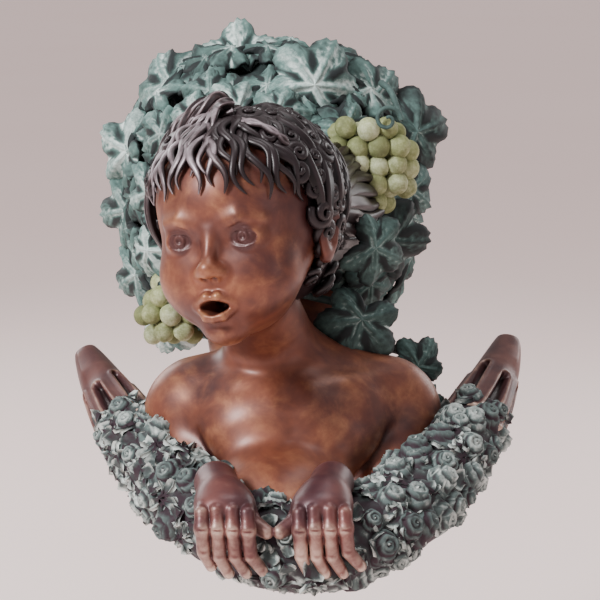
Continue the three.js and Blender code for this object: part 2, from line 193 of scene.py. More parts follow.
def grid_faces(rows, columns, closed=True, start=0):
    """Quads between rows of points; closed rings go right round."""
    last = columns if closed else columns - 1
    i, j = np.meshgrid(np.arange(rows - 1), np.arange(last), indexing="ij")
    k = (j + 1) % columns
    quads = np.stack([i * columns + j, i * columns + k, (i + 1) * columns + k, (i + 1) * columns + j], -1)
    return quads.reshape(-1, 4) + start


def ring_faces(columns, outer, inner):
    """Quads between two rings that start at the given vertices."""
    j = np.arange(columns)
    k = (j + 1) % columns
    return np.stack([inner + j, inner + k, outer + k, outer + j], -1)


def fan_faces(columns, ring, middle):
    """Triangles between a ring that starts at a vertex and a vertex in its middle."""
    j = np.arange(columns)
    return np.stack([np.full(columns, middle), (j + 1) % columns + ring, j + ring], -1)


def smooth_path(points, count):
    """Points evenly along a smooth curve through the given ones, with its directions."""
    knots = np.asarray(points, float)
    ends = np.vstack([2 * knots[0] - knots[1], knots, 2 * knots[-1] - knots[-2]])
    t = np.linspace(0, len(knots) - 1 - 1e-6, 24 * len(knots))
    i = t.astype(int)
    f = (t - i)[:, None]
    a, b, c, d = ends[i], ends[i + 1], ends[i + 2], ends[i + 3]
    bend, twist = 2 * a - 5 * b + 4 * c - d, 3 * b - a - 3 * c + d
    curve = 0.5 * (2 * b + (c - a) * f + bend * f**2 + twist * f**3)
    run = np.concatenate([[0], np.cumsum(length(np.diff(curve, axis=0)))])
    even = np.linspace(0, run[-1], count)
    path = np.stack([np.interp(even, run, curve[:, k]) for k in range(3)], 1)
    return path, unit(np.gradient(path, axis=0))


def tube(points, radius, count, sides, outward, flat=1.0, grooves=0, groove=0.0, twist=0.0):
    """A closed tube along a path. Its section is flattened towards outward, a direction or one per
    point, and its grooves, if any, twist along it by that many turns."""
    path, along = smooth_path(points, count)
    share = np.linspace(0, 1, count)
    out = outward(path) if callable(outward) else np.broadcast_to(np.asarray(outward, float), path.shape)
    side = unit(np.cross(out, along))
    out = unit(np.cross(along, side))
    angle = np.linspace(0, 2 * np.pi, sides, endpoint=False)
    r = np.asarray([radius(s) for s in share])[:, None] * np.ones(sides)
    if grooves:
        wave = np.abs(np.sin(0.5 * grooves * (angle[None] + 2 * np.pi * twist * share[:, None])))
        r = r * (1 - groove * (1 - wave) ** 2)
    rings = (
        path[:, None]
        + (r * np.cos(angle))[..., None] * side[:, None]
        + (r * flat * np.sin(angle))[..., None] * out[:, None]
    )
    tips = path[:1] - along[:1] * r[0, 0] * 0.5, path[-1:] + along[-1:] * r[-1, 0] * 0.5
    foot = count * sides
    ends = np.stack([fan_faces(sides, 0, foot), fan_faces(sides, foot - sides, foot + 1)[:, [0, 2, 1]]], 1)
    faces = grid_faces(count, sides).tolist() + ends.reshape(-1, 3).tolist()
    return np.vstack([rings.reshape(-1, 3), *tips]), faces


def crest_light_and_shade(tone, count, sides, gain=0.5, grooves=0, twist=0.0):
    """A tone for each point of a tube: a painted highlight along its crest, and painted shade on its
    underside and in its grooves.
    """
    angle = np.linspace(0, 2 * np.pi, sides, endpoint=False)
    across = np.tile(tone + gain * np.sin(angle), (count, 1))
    if grooves:
        turn = angle[None] + 2 * np.pi * twist * np.linspace(0, 1, count)[:, None]
        across = across - 0.9 * (1 - np.abs(np.sin(0.5 * grooves * turn))) ** 1.5
    return np.concatenate([across.reshape(-1), [tone, tone]])


class Heap:
    """Shapes gathered into one mesh, each with a shade of its own."""

    def __init__(self):
        self.points, self.faces, self.tone = [], [], []
        self.total = 0

    def add(self, vertices, faces, tone=0.5):
        faces = faces.tolist() if isinstance(faces, np.ndarray) else faces
        self.faces.extend([i + self.total for i in face] for face in faces)
        self.points.append(np.asarray(vertices, np.float32))
        self.tone.append(np.broadcast_to(np.float32(tone), (len(vertices),)))
        self.total += len(vertices)

    def mesh(self, name, passes, scale=None):
        points = np.vstack(self.points)
        return make_piece(name, points, self.faces, np.concatenate(self.tone), passes, scale)


def relief_of(points, mesh, passes, scale):
    """How far each point stands out of its neighbourhood: 0 deep in a hollow, 1 on a crest. The
    scale is the rise in millimetres that counts as a crest, or None to take it from the piece."""
    edges = np.zeros(len(mesh.edges) * 2, np.int32)
    mesh.edges.foreach_get("vertices", edges)
    a, b = edges.reshape(-1, 2).T
    many = len(points)
    count = np.maximum(np.bincount(a, minlength=many) + np.bincount(b, minlength=many), 1)
    soft = points.astype(float)
    for _ in range(passes):
        sums = [np.bincount(a, soft[b, k], many) + np.bincount(b, soft[a, k], many) for k in range(3)]
        soft = 0.5 * soft + 0.5 * np.stack(sums, 1) / count[:, None]
    normals = np.zeros(many * 3, np.float32)
    mesh.vertices.foreach_get("normal", normals)
    rise = ((points - soft) * normals.reshape(-1, 3)).sum(1)
    if scale is None:
        return np.interp(rise, np.percentile(rise, (4, 45, 96)), (0, 0.45, 1))
    return np.clip(0.5 + 0.5 * rise / scale, 0, 1)


def make_piece(name, points, faces, tone, passes, scale, calm=1.0):
    """A mesh object in metres, with two values at each point for its material: relief and tone.
    Where calm is 0, relief is left even."""
    mesh = bpy.data.meshes.new(name)
    faces = faces.tolist() if isinstance(faces, np.ndarray) else faces
    mesh.from_pydata((points * MM).tolist(), [], faces)
    mesh.update()
    relief = 0.5 + (relief_of(points, mesh, passes, scale) - 0.5) * calm
    for key, value in (("relief", relief), ("tone", np.broadcast_to(tone, len(points)))):
        values = mesh.attributes.new(key, "FLOAT", "POINT")
        values.data.foreach_set("value", value.astype(np.float32))
    piece = bpy.data.objects.new(name, mesh)
    bpy.context.scene.collection.objects.link(piece)
    mesh.polygons.foreach_set("use_smooth", np.ones(len(mesh.polygons), bool))
    return piece


def fit(piece, material):
    """Gives a piece its finish and sets it on the casting."""
    piece.data.materials.clear()
    piece.data.materials.append(material)
    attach(piece, "root")
    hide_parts(NODE)


# Shader nodes, written as Python.


class Socket:
    """An output socket that can be added to, taken from and multiplied."""

    def __init__(self, tree, socket):
        self.tree = tree
        self.socket = socket

    def node(self, kind, settings=None, **inputs):
        """A node with its settings and the values or links of its sockets, which are named by their
        names or, after an underscore, by their numbers."""
        made = self.tree.nodes.new(kind)
        for key, value in (settings or {}).items():
            setattr(made, key, value)
        for key, value in inputs.items():
            socket = made.inputs[int(key[1:]) if key[0] == "_" else key.replace("_", " ")]
            if isinstance(value, Socket):
                self.tree.links.new(value.socket, socket)
            else:
                socket.default_value = value
        return made

    def out(self, made, name=0):
        return Socket(self.tree, made.outputs[name])

    def math(self, operation, a, b):
        return self.out(self.node("ShaderNodeMath", {"operation": operation}, _0=a, _1=b))

    def __add__(self, other):
        return self.math("ADD", self, other)

    def __sub__(self, other):
        return self.math("SUBTRACT", self, other)

    def __rsub__(self, other):
        return self.math("SUBTRACT", other, self)

    def __mul__(self, other):
        return self.math("MULTIPLY", self, other)

    __radd__ = __add__
    __rmul__ = __mul__

    def step(self, low, high):
        """0 below low, 1 above high and a smooth way between."""
        settings = {"interpolation_type": "SMOOTHSTEP"}
        return self.out(self.node("ShaderNodeMapRange", settings, Value=self, From_Min=low, From_Max=high))

    def noise(self, scale, detail=3.0, rough=0.5, warp=0.0):
        sizes = {"Scale": scale, "Detail": detail, "Roughness": rough, "Distortion": warp}
        return self.out(self.node("ShaderNodeTexNoise", None, Vector=self, **sizes))

    def blend(self, low, high):
        """The colour low where this is 0 and high where it is 1."""
        low, high = (c if isinstance(c, Socket) else (*c, 1) for c in (low, high))
        return self.out(self.node("ShaderNodeMix", {"data_type": "RGBA"}, _0=self, _6=low, _7=high), 2)


def attribute(place, name):
    return place.out(place.node("ShaderNodeAttribute", {"attribute_name": name}), "Fac")


def start_material(name, metallic, coat, coat_roughness, specular=0.5):
    """A new material: its place socket in Object coordinates and its principled shader."""
    material = bpy.data.materials.new(name)
    material.use_nodes = True
    tree = material.node_tree
    shader = tree.nodes["Principled BSDF"]
    shader.inputs["Metallic"].default_value = metallic
    shader.inputs["Coat Weight"].default_value = coat
    shader.inputs["Coat Roughness"].default_value = coat_roughness
    shader.inputs["Specular IOR Level"].default_value = specular
    coordinates = tree.nodes.new("ShaderNodeTexCoord")
    return material, Socket(tree, coordinates.outputs["Object"]), shader


def finish_material(place, shader, color, roughness, height, bump, distance=0.001):
    links = place.tree.links
    links.new(color.socket, shader.inputs["Base Color"])
    links.new(roughness.socket, shader.inputs["Roughness"])
    made = place.node("ShaderNodeBump", None, Strength=bump, Distance=distance, Height=height)
    links.new(made.outputs[0], shader.inputs["Normal"])


def skin_bronze(name, dark, middle, bright, wear=1.0):
    """Brown bronze, nearly black in hollows and rubbed golden on the high places, with painted shade and
    painted highlights where a piece's tone carries them.
    """
    material, place, shader = start_material(name, 0.35, 0.24, 0.28, 0.4)
    relief = attribute(place, "relief")
    tone = attribute(place, "tone")
    clouds = place.noise(14, 4, 0.55, 0.6)
    patches = place.noise(36, 5, 0.6, 0.4)
    streaks = place.noise(140, 3, 0.6)
    warm = (clouds * 0.9 + patches * 0.55 + (tone - 0.5) * 0.9 + (relief - 0.5) * 0.5).step(0.42, 0.98)
    # Rubbed bronze on the high places, and painted highlights where the tone is high.
    rubbed_and_highlit = (relief - 0.5) * 1.5 * wear + patches * 0.7 + streaks * 0.2 + (tone - 0.5) * 0.9
    rubbed_and_highlit = rubbed_and_highlit.step(0.42, 1.0)
    # Dark patina in the hollows, and painted shade, down to near black, where the tone is low.
    hollow = (relief + streaks * 0.1).step(0.24, 0.5) * tone.step(-0.45, 0.0)
    brown = warm.blend(dark, middle)
    rubbed = clouds.step(0.35, 0.65).blend(tuple(0.75 * c for c in bright), bright)
    color = hollow.blend(tuple(0.3 * c for c in dark), rubbed_and_highlit.blend(brown, rubbed))
    roughness = 0.4 - rubbed_and_highlit * 0.1 + streaks * 0.12
    height = patches * 0.6 + streaks * 0.25 + place.noise(420, 2) * 0.12
    finish_material(place, shader, color, roughness, height, 0.2)
    return material


def verdigris(name, deep, green, pale, metallic=0.12):
    """Matt blue-green patina, nearly black in hollows and pale where it is rubbed, with painted shade and
    painted highlights where a piece's tone carries them.
    """
    material, place, shader = start_material(name, metallic, 0.06, 0.4, 0.4)
    relief = attribute(place, "relief")
    tone = attribute(place, "tone")
    clouds = place.noise(22, 4, 0.6, 0.5)
    grain = place.noise(150, 4, 0.65)
    fine = place.noise(520, 3, 0.6)
    # Dark patina in the hollows, and painted shade where the tone is low.
    hollow = (relief + grain * 0.22 + (tone - 0.5) * 0.7 - 0.11).step(0.16, 0.6) * tone.step(0.0, 0.06)
    # Pale where it is rubbed, and painted highlights where the tone is high.
    rubbed_and_highlit = (relief + grain * 0.34 + fine * 0.2 + (tone - 0.5) * 0.55 - 0.27).step(0.5, 0.88)
    # A low tone also darkens the green: random variation, and painted shade where the tone carries it.
    green_mix = (clouds * 0.8 + grain * 0.5 + tone * 0.5 - 0.4).step(0.2, 0.9)
    base = green_mix.blend(tuple(0.45 * c for c in green), green)
    color = hollow.blend(deep, rubbed_and_highlit.blend(base, pale))
    roughness = 0.72 - rubbed_and_highlit * 0.16 + fine * 0.14
    height = grain * 0.6 + fine * 0.4
    finish_material(place, shader, color, roughness, height, 0.35)
    return material


# The figure. Its head is made in a frame of its own: +Z to the crown, -Y out of the face.

HEAD_AT = point(-43, -350, 76)
HEAD_TURN = turn_matrix(-4, -7, -20)


def face_form(q):
    """The head without hair, on plain proportions: eyes at half height, the mouth a third below."""
    m = mirrored(q)
    mass = fuse(
        24,
        ellipsoid(q, (0, 8, 18), (72, 86, 76)),
        ellipsoid(q, (0, -27, -24), (58, 54, 66)),
        ellipsoid(q, (0, -33, 34), (58, 48, 44)),
        ellipsoid(m, (29, -50, -38), (29, 27, 28)),
        ellipsoid(q, (0, -58, -55), (30, 24, 22)),
    )
    mass = fuse(16, mass, ellipsoid(q, (0, -64, -82), (17, 16, 13)))
    mass = carve(14, mass, ellipsoid(m, (29, -95, -3), (17, 14, 10)))
    brow = bent_rod(m, ((13, -78, 9), (27, -80, 15), (41, -71, 12)), (1, 2, 0.6))
    mass = fuse(15, mass, brow)
    nose = fuse(
        7,
        bent_rod(q, ((0, -80, 3), (0, -86, -12), (0, -92, -26)), (4, 5, 6.2)),
        ellipsoid(q, (0, -93.5, -28), (7.4, 7, 6.8)),
        ellipsoid(m, (8, -87.5, -30.5), (5.2, 6.6, 5)),
    )
    mass = fuse(9, mass, nose)
    mass = carve(3, mass, ellipsoid(m, (4.2, -91, -35.5), (2.3, 3.4, 2.2)))
    mass = carve(5, mass, rod(q, (0, -92, -40), (0, -91, -46), 0.8))
    upper = bent_rod(m, ((0, -89, -52.2), (5, -89.5, -51), (18, -81, -57.5)), (3.6, 4.2, 1.6))
    lower = bent_rod(m, ((0, -87.5, -68.5), (7, -86.5, -68), (17.5, -80.5, -60.5)), (5.2, 4.8, 1.6))
    mass = fuse(4.5, mass, upper, lower)
    mass = carve(7, mass, rod(m, (0, -84, -78), (8, -82.5, -77.5), 1.0))
    lids = carve(
        1.4, ellipsoid(m, (29, -64.5, -3), (17.6, 18, 17)), ellipsoid(m, (29, -83, -3.4), (14.2, 12, 7.2))
    )
    mass = fuse(3.5, mass, lids)
    mass = carve(2.4, mass, bent_rod(m, ((20, -82.5, 5.4), (29, -83, 8), (40, -78.5, 5)), (0.3, 0.9, 0.3)))
    spout = rod(q, (0, -100, -60.5), (0, -62, -60.5), 5.2)
    mass = carve(2, mass, fuse(4, ellipsoid(q, (0, -88, -60), (13, 20, 4.8)), spout))
    eye = ellipsoid(m, (29, -64.5, -3.2), (16, 16.2, 16))
    iris = np.maximum(np.abs(length(m - point(29, -80.6, -2.6)) - 6.4) - 0.7, -(eye + 0.7))
    eye = carve(0.8, eye, iris, ellipsoid(m, (29, -81.2, -2.6), (2.9, 2.4, 2.9)))
    return np.minimum(mass, eye)


def ear_form(q):
    m = mirrored(q)
    shell = ellipsoid(m, (74, 2, -10), (6, 15, 24))
    path = (72, -6, 0), (78, -4, 12), (80, 8, 14), (80, 15, 2), (77, 10, -18), (71, -2, -30)
    rim = bent_rod(m, path, (3, 3.4, 3.4, 3.2, 3, 3.6))
    return fuse(4, carve(5, shell, ellipsoid(m, (82, 2, -8), (6, 9, 15))), rim)


SHOULDERS_AT = point(-2, -280, -102)


def body_form(p):
    """Neck, shoulders, chest, upper arms and the trunk that runs back to the wall."""
    s = p - SHOULDERS_AT
    m = mirrored(s)
    neck_foot = SHOULDERS_AT + point(-8, 4, 36)
    chest = fuse(
        26,
        ellipsoid(s, (0, -10, 2), (102, 78, 58)),
        ellipsoid(s, (0, 20, -28), (84, 84, 44)),
        ellipsoid(m, (99, 2, -1), (37, 38, 37)),
        ellipsoid(m, (36, -62, -16), (36, 22, 28)),
        rod(m, (0, 0, 38), (88, 6, 18), 30, 26),
        ellipsoid(s, (-6, -98, -46), (58, 46, 34)),
        ellipsoid(s, (-8, -128, -66), (42, 46, 26)),
    )
    neck = rod(p, neck_foot, HEAD_AT + point(7, 24, -68), 41, 37)
    chest = fuse(22, chest, neck)
    collar = bent_rod(m, ((9, -62, 28), (46, -52, 34), (88, -16, 34)), (4, 4.5, 4))
    chest = fuse(12, chest, collar)
    chest = carve(16, chest, ellipsoid(s, (0, -86, 40), (9, 10, 12)))
    chest = carve(14, chest, rod(m, (76, -46, -12), (66, -78, -60), 5))
    arms = rod(m, (97, 0, -6), (84, -44, -50), 33, 31)
    chest = fuse(9, chest, arms)
    trunk = rod(p, (-2, -210, -104), (-12, -40, -30), 72, 84)
    return fuse(30, chest, trunk)


def figure_form(p):
    q = turned(p, HEAD_AT, HEAD_TURN)
    head = fuse(5, face_form(q), ear_form(q))
    return fuse(16, head, body_form(p))


# The hands, with their fingers over the rim.

HAND_MIDDLES = {-1: point(-58, -484, -131), 1: point(23, -484, -131)}
FINGER_RADIUS = 5.9
FINGER_DROP = 62  # from the knuckles to the tip of a long finger


def finger_paths(side):
    at = HAND_MIDDLES[side]
    paths = []
    for i in range(4):
        across = (i - 1.5) * FINGER_RADIUS * 2.12
        reach = 1 if i in (1, 2) else (0.94 if (i == 0) == (side > 0) else 0.86)
        drop = FINGER_DROP * reach
        lean = 4 + 1.2 * i
        low = 2.4 * abs(i - 1.5)
        paths.append(
            [
                at + point(across * 0.9, 12, -3 - low),
                at + point(across, -9, -6 - low),
                at + point(across + 0.1 * lean, -15, -0.34 * drop - low),
                at + point(across + 0.4 * lean, -12, -0.72 * drop - low),
                at + point(across + 1.8 * lean, -3, -1.0 * drop - low),
            ]
        )
    return paths


def finger_form(p, path):
    """A finger with a knuckle, two creases and a nail."""
    finger = bent_rod(p, path, [FINGER_RADIUS * k for k in (1.12, 1.1, 1.04, 1.0, 0.84)])
    finger = fuse(4, finger, ellipsoid(p, path[2] + point(0, -0.6, 1), (6.4, 6.3, 6.4)))
    nail = ellipsoid(p, path[4] + point(0.4, -5.0, 1.5), (3.5, 1.7, 4.8))
    finger = fuse(0.8, finger, nail)
    for joint in (path[2], path[3]):
        crease = rod(p, joint + point(-4, -6.9, 1), joint + point(4, -6.9, 1), 0.5)
        finger = carve(2, finger, crease)
    return finger


def hand_form(p, side):
    """A plump hand: a domed back, soft knuckles and fingers that curl over the garland."""
    at = HAND_MIDDLES[side]
    hand = fuse(
        14,
        rod(p, at + point(side * 9, 52, 0), at + point(side * 4, 26, -3), 19, 18),
        ellipsoid(p, at + point(0, 12, -8), (25.5, 25, 17)),
        ellipsoid(p, at + point(0, 4, -24), (23, 10, 20)),
    )
    for path in finger_paths(side):
        hand = fuse(1.2, hand, finger_form(p, path))
    thumb = (-side * 14, 18, -14), (-side * 24, 2, -22), (-side * 35, -5, -27)
    return fuse(4, hand, bent_rod(p, [at + point(*knot) for knot in thumb], (10, 8.2, 6.2)))


def hands_form(p):
    return np.minimum(*(hand_form(p, side) for side in HAND_MIDDLES))


# Hair. Each lock lies over the scalp from its root towards its tip.

FRINGE_LOCKS = 30
UPPER_LOCKS = 22
MANE_LOCKS = 26
BAND_STRANDS = 5
CURL_TURNS = 1.7
SCALP = (np.float32((0, 14, 22)), np.float32((77, 82, 76)))  # centre and radii
NAPE_MASS = (np.float32((0, 46, -38)), np.float32((52, 32, 34)))


def on_scalp(direction, lift):
    """Places over the head's own surface, where rays from the scalp's middle leave it."""
    d = unit(direction)
    reach = np.full(len(d), 125, np.float32)
    for _ in range(12):
        q = (SCALP[0] + d * reach[:, None]).astype(np.float32)
        mass = np.minimum(ellipsoid(q, *SCALP), ellipsoid(q, *NAPE_MASS))
        reach -= 0.85 * np.minimum(face_form(q), mass)
    return SCALP[0] + d * (reach + lift)[:, None]


def facing(longitude, latitude):
    """A direction off the head's middle: longitude 0 is the face, positive to the right."""
    a, b = math.radians(longitude), math.radians(latitude)
    return np.array([math.sin(a) * math.cos(b), -math.cos(a) * math.cos(b), math.sin(b)])


def lay_hair(heap, tufts, shade):
    """Adds a tube that was made in the head's frame."""
    vertices, faces = tufts
    heap.add(vertices @ HEAD_TURN.T + HEAD_AT, faces, shade)


def lock(heap, rng, start, end, width, rise, wave, turns, phase, tone, count=20, tip=0.12, sides=16):
    """A pointed lock that winds from one direction off the scalp's middle to another. Round ones
    are grooved."""
    share = np.linspace(0, 1, 9)
    a, b = unit(start), unit(end)
    line = unit(a[None] * (1 - share[:, None]) + b[None] * share[:, None])
    across = unit(np.cross(b - a, a + b))
    swing = wave * np.sin(2 * np.pi * turns * share + phase) * np.minimum(1, 4 * share)
    lift = rise * np.sin(np.pi * np.clip(share * 0.9 + 0.05, 0, 1)) + 1.5
    knots = on_scalp(line, lift) + across[None] * swing[:, None]

    def radius(s):
        return width * (tip + (1 - tip) * math.sin(math.pi * min(1, s * 0.78 + 0.22)) ** 0.75)

    grooves = 4 if sides > 12 else 0
    twist = rng.uniform(-0.5, 0.5)
    tufts = tube(knots, radius, count, sides, lambda path: path - SCALP[0], 0.7, grooves, 0.5, twist)
    lay_hair(heap, tufts, crest_light_and_shade(tone, count, sides, 0.8, grooves, twist))


def curl(heap, rng, direction, size, tone, lift):
    """A snail curl that stands on the scalp."""
    d = unit(direction)
    middle = on_scalp(d[None], np.array([lift]))[0]
    east = unit(np.cross(d, (0.1, 0.2, 1)))
    north = np.cross(east, d)
    spin = rng.uniform(0, 2 * np.pi)
    way = rng.choice((-1, 1))
    share = np.linspace(0, 1, 16)
    angle = spin + way * 2 * np.pi * CURL_TURNS * share
    reach = size * (1 - 0.82 * share)
    around = (reach * np.cos(angle))[:, None] * east + (reach * np.sin(angle))[:, None] * north
    knots = middle + around + (size * 0.75 * share**0.8)[:, None] * d

    def radius(s):
        return size * 0.47 * (0.5 + 0.55 * math.sin(math.pi * min(1, s + 0.15)) ** 0.6)

    lay_hair(heap, tube(knots, radius, 24, 8, d, 0.8), crest_light_and_shade(tone, 24, 8))


def lay_fringe(heap, rng):
    """Narrow locks that wind down over the forehead, and a shorter layer over them."""
    for i in range(FRINGE_LOCKS):
        side = 2 * i / (FRINGE_LOCKS - 1) - 1
        start = facing(-13 + 50 * side, 52 - 6 * abs(side))
        end = facing(-5 + 66 * side, 13 - 9 * abs(side) + 5 * math.sin(2.4 * i))
        # Locks on the right get a lower tone: painted shade on the side away from the light.
        tone = -0.1 - 0.62 * float(ramp(0.05, 0.5, side))
        wave = 4.6 * (-1) ** (i // 2)
        width = 3.9 + rng.uniform(-0.4, 0.7)
        phase = rng.uniform(-0.7, 0.7)
        lock(heap, rng, start, end, width, 5.5, wave, 1.5, phase, tone, 26, 0.14, 12)
    for i in range(UPPER_LOCKS):
        side = 2 * i / (UPPER_LOCKS - 1) - 1
        start = facing(-10 + 46 * side, 62)
        end = facing(-6 + 60 * side, 33 + rng.uniform(-6, 6))
        # Locks on the right get a lower tone: painted shade on the side away from the light.
        tone = -0.16 - 0.6 * float(ramp(0.0, 0.45, side))
        wave = 4.8 * (-1) ** i
        lock(heap, rng, start, end, 4.6, 9.5, wave, 1.3, rng.uniform(0, 6), tone, 24, 0.14, 12)


def lay_crown(heap, rng):
    """Long locks that run back from the parting."""
    for row in range(6):
        for i in range(13):
            side = 2 * (i + 0.5 * (row % 2)) / 12.5 - 1
            start = facing(150 * side, 84 - 9 * row)
            end = facing(158 * side + rng.uniform(-8, 8), 50 - 17 * row)
            if abs(side) * 158 < 62 and row > 0:
                continue
            # Locks on the right get a lower tone: painted shade on the side away from the light.
            tone = rng.uniform(-0.3, -0.05) - 0.35 * (side > 0)
            lock(heap, rng, start, end, 8.2, 5 + rng.uniform(0, 3), 5, 1.1, rng.uniform(0, 6), tone)


def lay_curls(heap, rng):
    """Curls from the temples to the nape, and over the crown on the right."""
    # The curls on the right get lower tones: painted shade on the side away from the light.
    for side, top, tones in ((-1, 38, (-0.3, 0.0)), (1, 62, (-0.55, -0.25))):
        for row in range(11):
            latitude = top - 11.5 * row
            if latitude < -64:
                continue
            gap = 13.5 / max(0.5, math.cos(math.radians(latitude)))
            longitude = min(84, 40 + 0.5 * (46 - latitude)) + 0.5 * gap * (row % 2)
            while longitude < (176 if latitude < -28 else 132):
                way = facing(side * longitude + rng.uniform(-4, 4), latitude + rng.uniform(-3, 3))
                tone = rng.uniform(*tones)
                curl(heap, rng, way, 9.8 + rng.uniform(-1.4, 1.6), tone, 5.5 if latitude > 20 else 3)
                longitude += gap


def lay_mane(heap, rng):
    """Wavy locks that run back from the head into the wreath."""
    for i in range(MANE_LOCKS):
        turn = math.radians(-205 + 230 * i / (MANE_LOCKS - 1))
        knots = []
        for step in range(7):
            reach = 57 + 2.2 * step + 1.6 * math.sin(2.1 * step + 1.7 * i)
            wide = turn + 0.05 * math.sin(1.3 * step + 0.9 * i)
            knots.append((-2 * step + reach * math.cos(wide), 34 + 27 * step, 6 - reach * math.sin(wide)))

        def radius(s):
            return 8.6 * (0.6 + 0.4 * math.sin(math.pi * s))

        twist = rng.uniform(-0.3, 0.3)
        tufts = tube(knots, radius, 32, 12, lambda path: path * [1, 0, 1], 0.8, 3, 0.4, twist)
        lay_hair(heap, tufts, crest_light_and_shade(rng.uniform(-0.35, -0.1), 32, 12))


def lay_band(heap):
    """A rope of thick strands that rises from the left temple over the forehead."""
    ways = ((-70, 4), (-66, 16), (-63, 28), (-60, 40), (-52, 51), (-32, 60), (-8, 66), (10, 66))
    spine = on_scalp(np.array([facing(*way) for way in ways]), np.array([4, 6, 8, 9, 11, 14, 17, 12]))
    reach = np.array([3, 4.5, 5.5, 6.5, 7.5, 9, 9.5, 6])
    for k in range(BAND_STRANDS):
        angle = 0.4 * k * math.pi + np.linspace(0, 7.5, 8)
        around = np.stack([0.6 * np.cos(angle), -0.7 * np.cos(angle), np.sin(angle)], 1)
        knots = spine + reach[:, None] * around
        tufts = tube(knots, lambda s: 2.9 + 2.9 * min(1, 1.4 * s), 60, 18, (0, -1, 0.6), 0.85, 5, 0.34, 0.8)
        lay_hair(heap, tufts, crest_light_and_shade(-0.14, 60, 18, 0.75, 5, 0.8))


def hair_heap():
    rng = np.random.default_rng(11)
    heap = Heap()
    lay_fringe(heap, rng)
    lay_crown(heap, rng)
    lay_curls(heap, rng)
    lay_mane(heap, rng)
    # A fine twisted strand runs over the dark curls to the right temple.
    for k in range(2):
        start, end = facing(2, 54), facing(58, 26)
        lock(heap, rng, start, end, 3.0, 13, 2.4, 3.0, math.pi * k, -0.1, 40, 0.4, 12)
    lay_band(heap)
    # The band's ends fall forward from the top.
    for k in range(7):
        start, end = facing(12 - 7 * k, 69 - 1.5 * k), facing(-4 - 7 * k, 41 + 2 * k)
        lock(heap, rng, start, end, 4.0, 17 - k, 4, 0.9, 0.9 * k, -0.08, 26, 0.16, 12)
    return heap


def scalp_form(p):
    """The dark under-hair, and the mass that runs back from the nape into the wreath."""
    q = turned(p, HEAD_AT, HEAD_TURN)
    cap = fuse(
        24,
        ellipsoid(q, *SCALP),
        rod(q, (0, 44, 4), (-10, 190, 6), 56, 64),
        ellipsoid(q, *NAPE_MASS),
    )
    m = np.abs(q[:, 0])
    window = np.maximum(-(q[:, 1] + 26 + 0.25 * m), q[:, 2] - 58 + 0.004 * m * m)
    return carve(6, cap, -window)


SEAM = -104  # along the head's own axis, in the neck
NAPE = -262


def head_skin_form(p):
    """The head and neck; its lower edge dips under the body's skin."""
    q = turned(p, HEAD_AT, HEAD_TURN)
    dip = np.maximum(ramp(SEAM - 1, SEAM - 9, q[:, 2]), ramp(NAPE + 1, NAPE + 9, p[:, 1]))
    return np.maximum(np.maximum(figure_form(p) + 1.6 * dip, SEAM - 12 - q[:, 2]), p[:, 1] - NAPE - 12)


def body_skin_form(p):
    q = turned(p, HEAD_AT, HEAD_TURN)
    above = ramp(SEAM + 1, SEAM + 9, q[:, 2]) * ramp(NAPE - 1, NAPE - 9, p[:, 1])
    whole = np.where(q[:, 2] < SEAM + 10, figure_form(p), body_form(p)) + 1.6 * above
    return np.maximum(whole, p[:, 1] + 3)


def away_from_seam(points):
    """1 over the skin and 0 where the head's and the body's skins meet."""
    q = turned(points, HEAD_AT, HEAD_TURN)
    return np.maximum(ramp(4, 16, np.abs(q[:, 2] - SEAM)), ramp(NAPE, NAPE + 20, points[:, 1]))


# The wreath: a dome against the wall with leaves and grapes on it.

WREATH_AT = point(-24, 0, 58)
WREATH_SIZE = (150, 162, 190)  # half its width and height, and its depth
WREATH_POWER = 2.4  # 2 would be an ellipse, more is squarer
INLET_DROP, INLET_RADIUS, INLET_DEPTH = 70, 10.5, 40
SMALL_COLUMNS, SMALL_ROWS, RIM_LEAVES = 9, 10, 26
LEAF_WALL = 3.2
LOBE_TURNS = (-2.15, -1.1, 0.0, 1.1, 2.15)
LOBE_LENGTHS = (0.82, 0.96, 1.08, 0.96, 0.82)


def wreath_share(x, z):
    """How far out a place lies: 0 in the dome's middle and 1 on its edge."""
    a = np.abs((x - WREATH_AT[0]) / WREATH_SIZE[0]) ** WREATH_POWER
    b = np.abs((z - WREATH_AT[2]) / WREATH_SIZE[1]) ** WREATH_POWER
    return (a + b) ** (1 / WREATH_POWER)


def wreath_depth(x, z):
    """How far the dome stands out from the wall."""
    return WREATH_SIZE[2] * np.sqrt(np.maximum(0.1, 1 - wreath_share(x, z) ** 2))


def leaf_edge(turn):
    """How far a vine leaf reaches along a turn from its middle lobe, teeth included."""
    reach = np.full_like(turn, 0.5)
    for lobe, size in zip(LOBE_TURNS, LOBE_LENGTHS):
        off = np.abs(turn - lobe)
        reach = np.maximum(reach, size * (1 - 0.36 * np.minimum(off / 0.6, 1.3) ** 1.8))
    notch = ramp(3.05, 2.75, np.abs(turn))
    teeth = np.abs(((turn * 5.1 + 0.5) % 1) - 0.5) * 0.16
    return (0.34 + (reach - 0.34) * notch) * (1 - teeth)


def vein_gap(x, y):
    """The distance to the nearest vein and to the nearest main vein, in leaf radii."""
    main = np.full_like(x, 9.0)
    small = np.full_like(x, 9.0)
    for turn, size in zip(LOBE_TURNS, LOBE_LENGTHS):
        ax, ay = math.sin(turn), math.cos(turn)
        along = x * ax + y * ay
        off = x * ay - y * ax
        inside = np.clip(along, 0, size * 0.97)
        main = np.minimum(main, np.hypot(along - inside, off))
        for k in range(1, 5):
            start = size * (0.16 + 0.19 * k)
            for side in (-1, 1):
                bx, by = math.sin(turn + side * 0.72), math.cos(turn + side * 0.72)
                px, py = x - ax * start, y - ay * start
                run = np.clip(px * bx + py * by, 0, size * 0.34)
                small = np.minimum(small, np.hypot(px - run * bx, py - run * by))
    return main, small


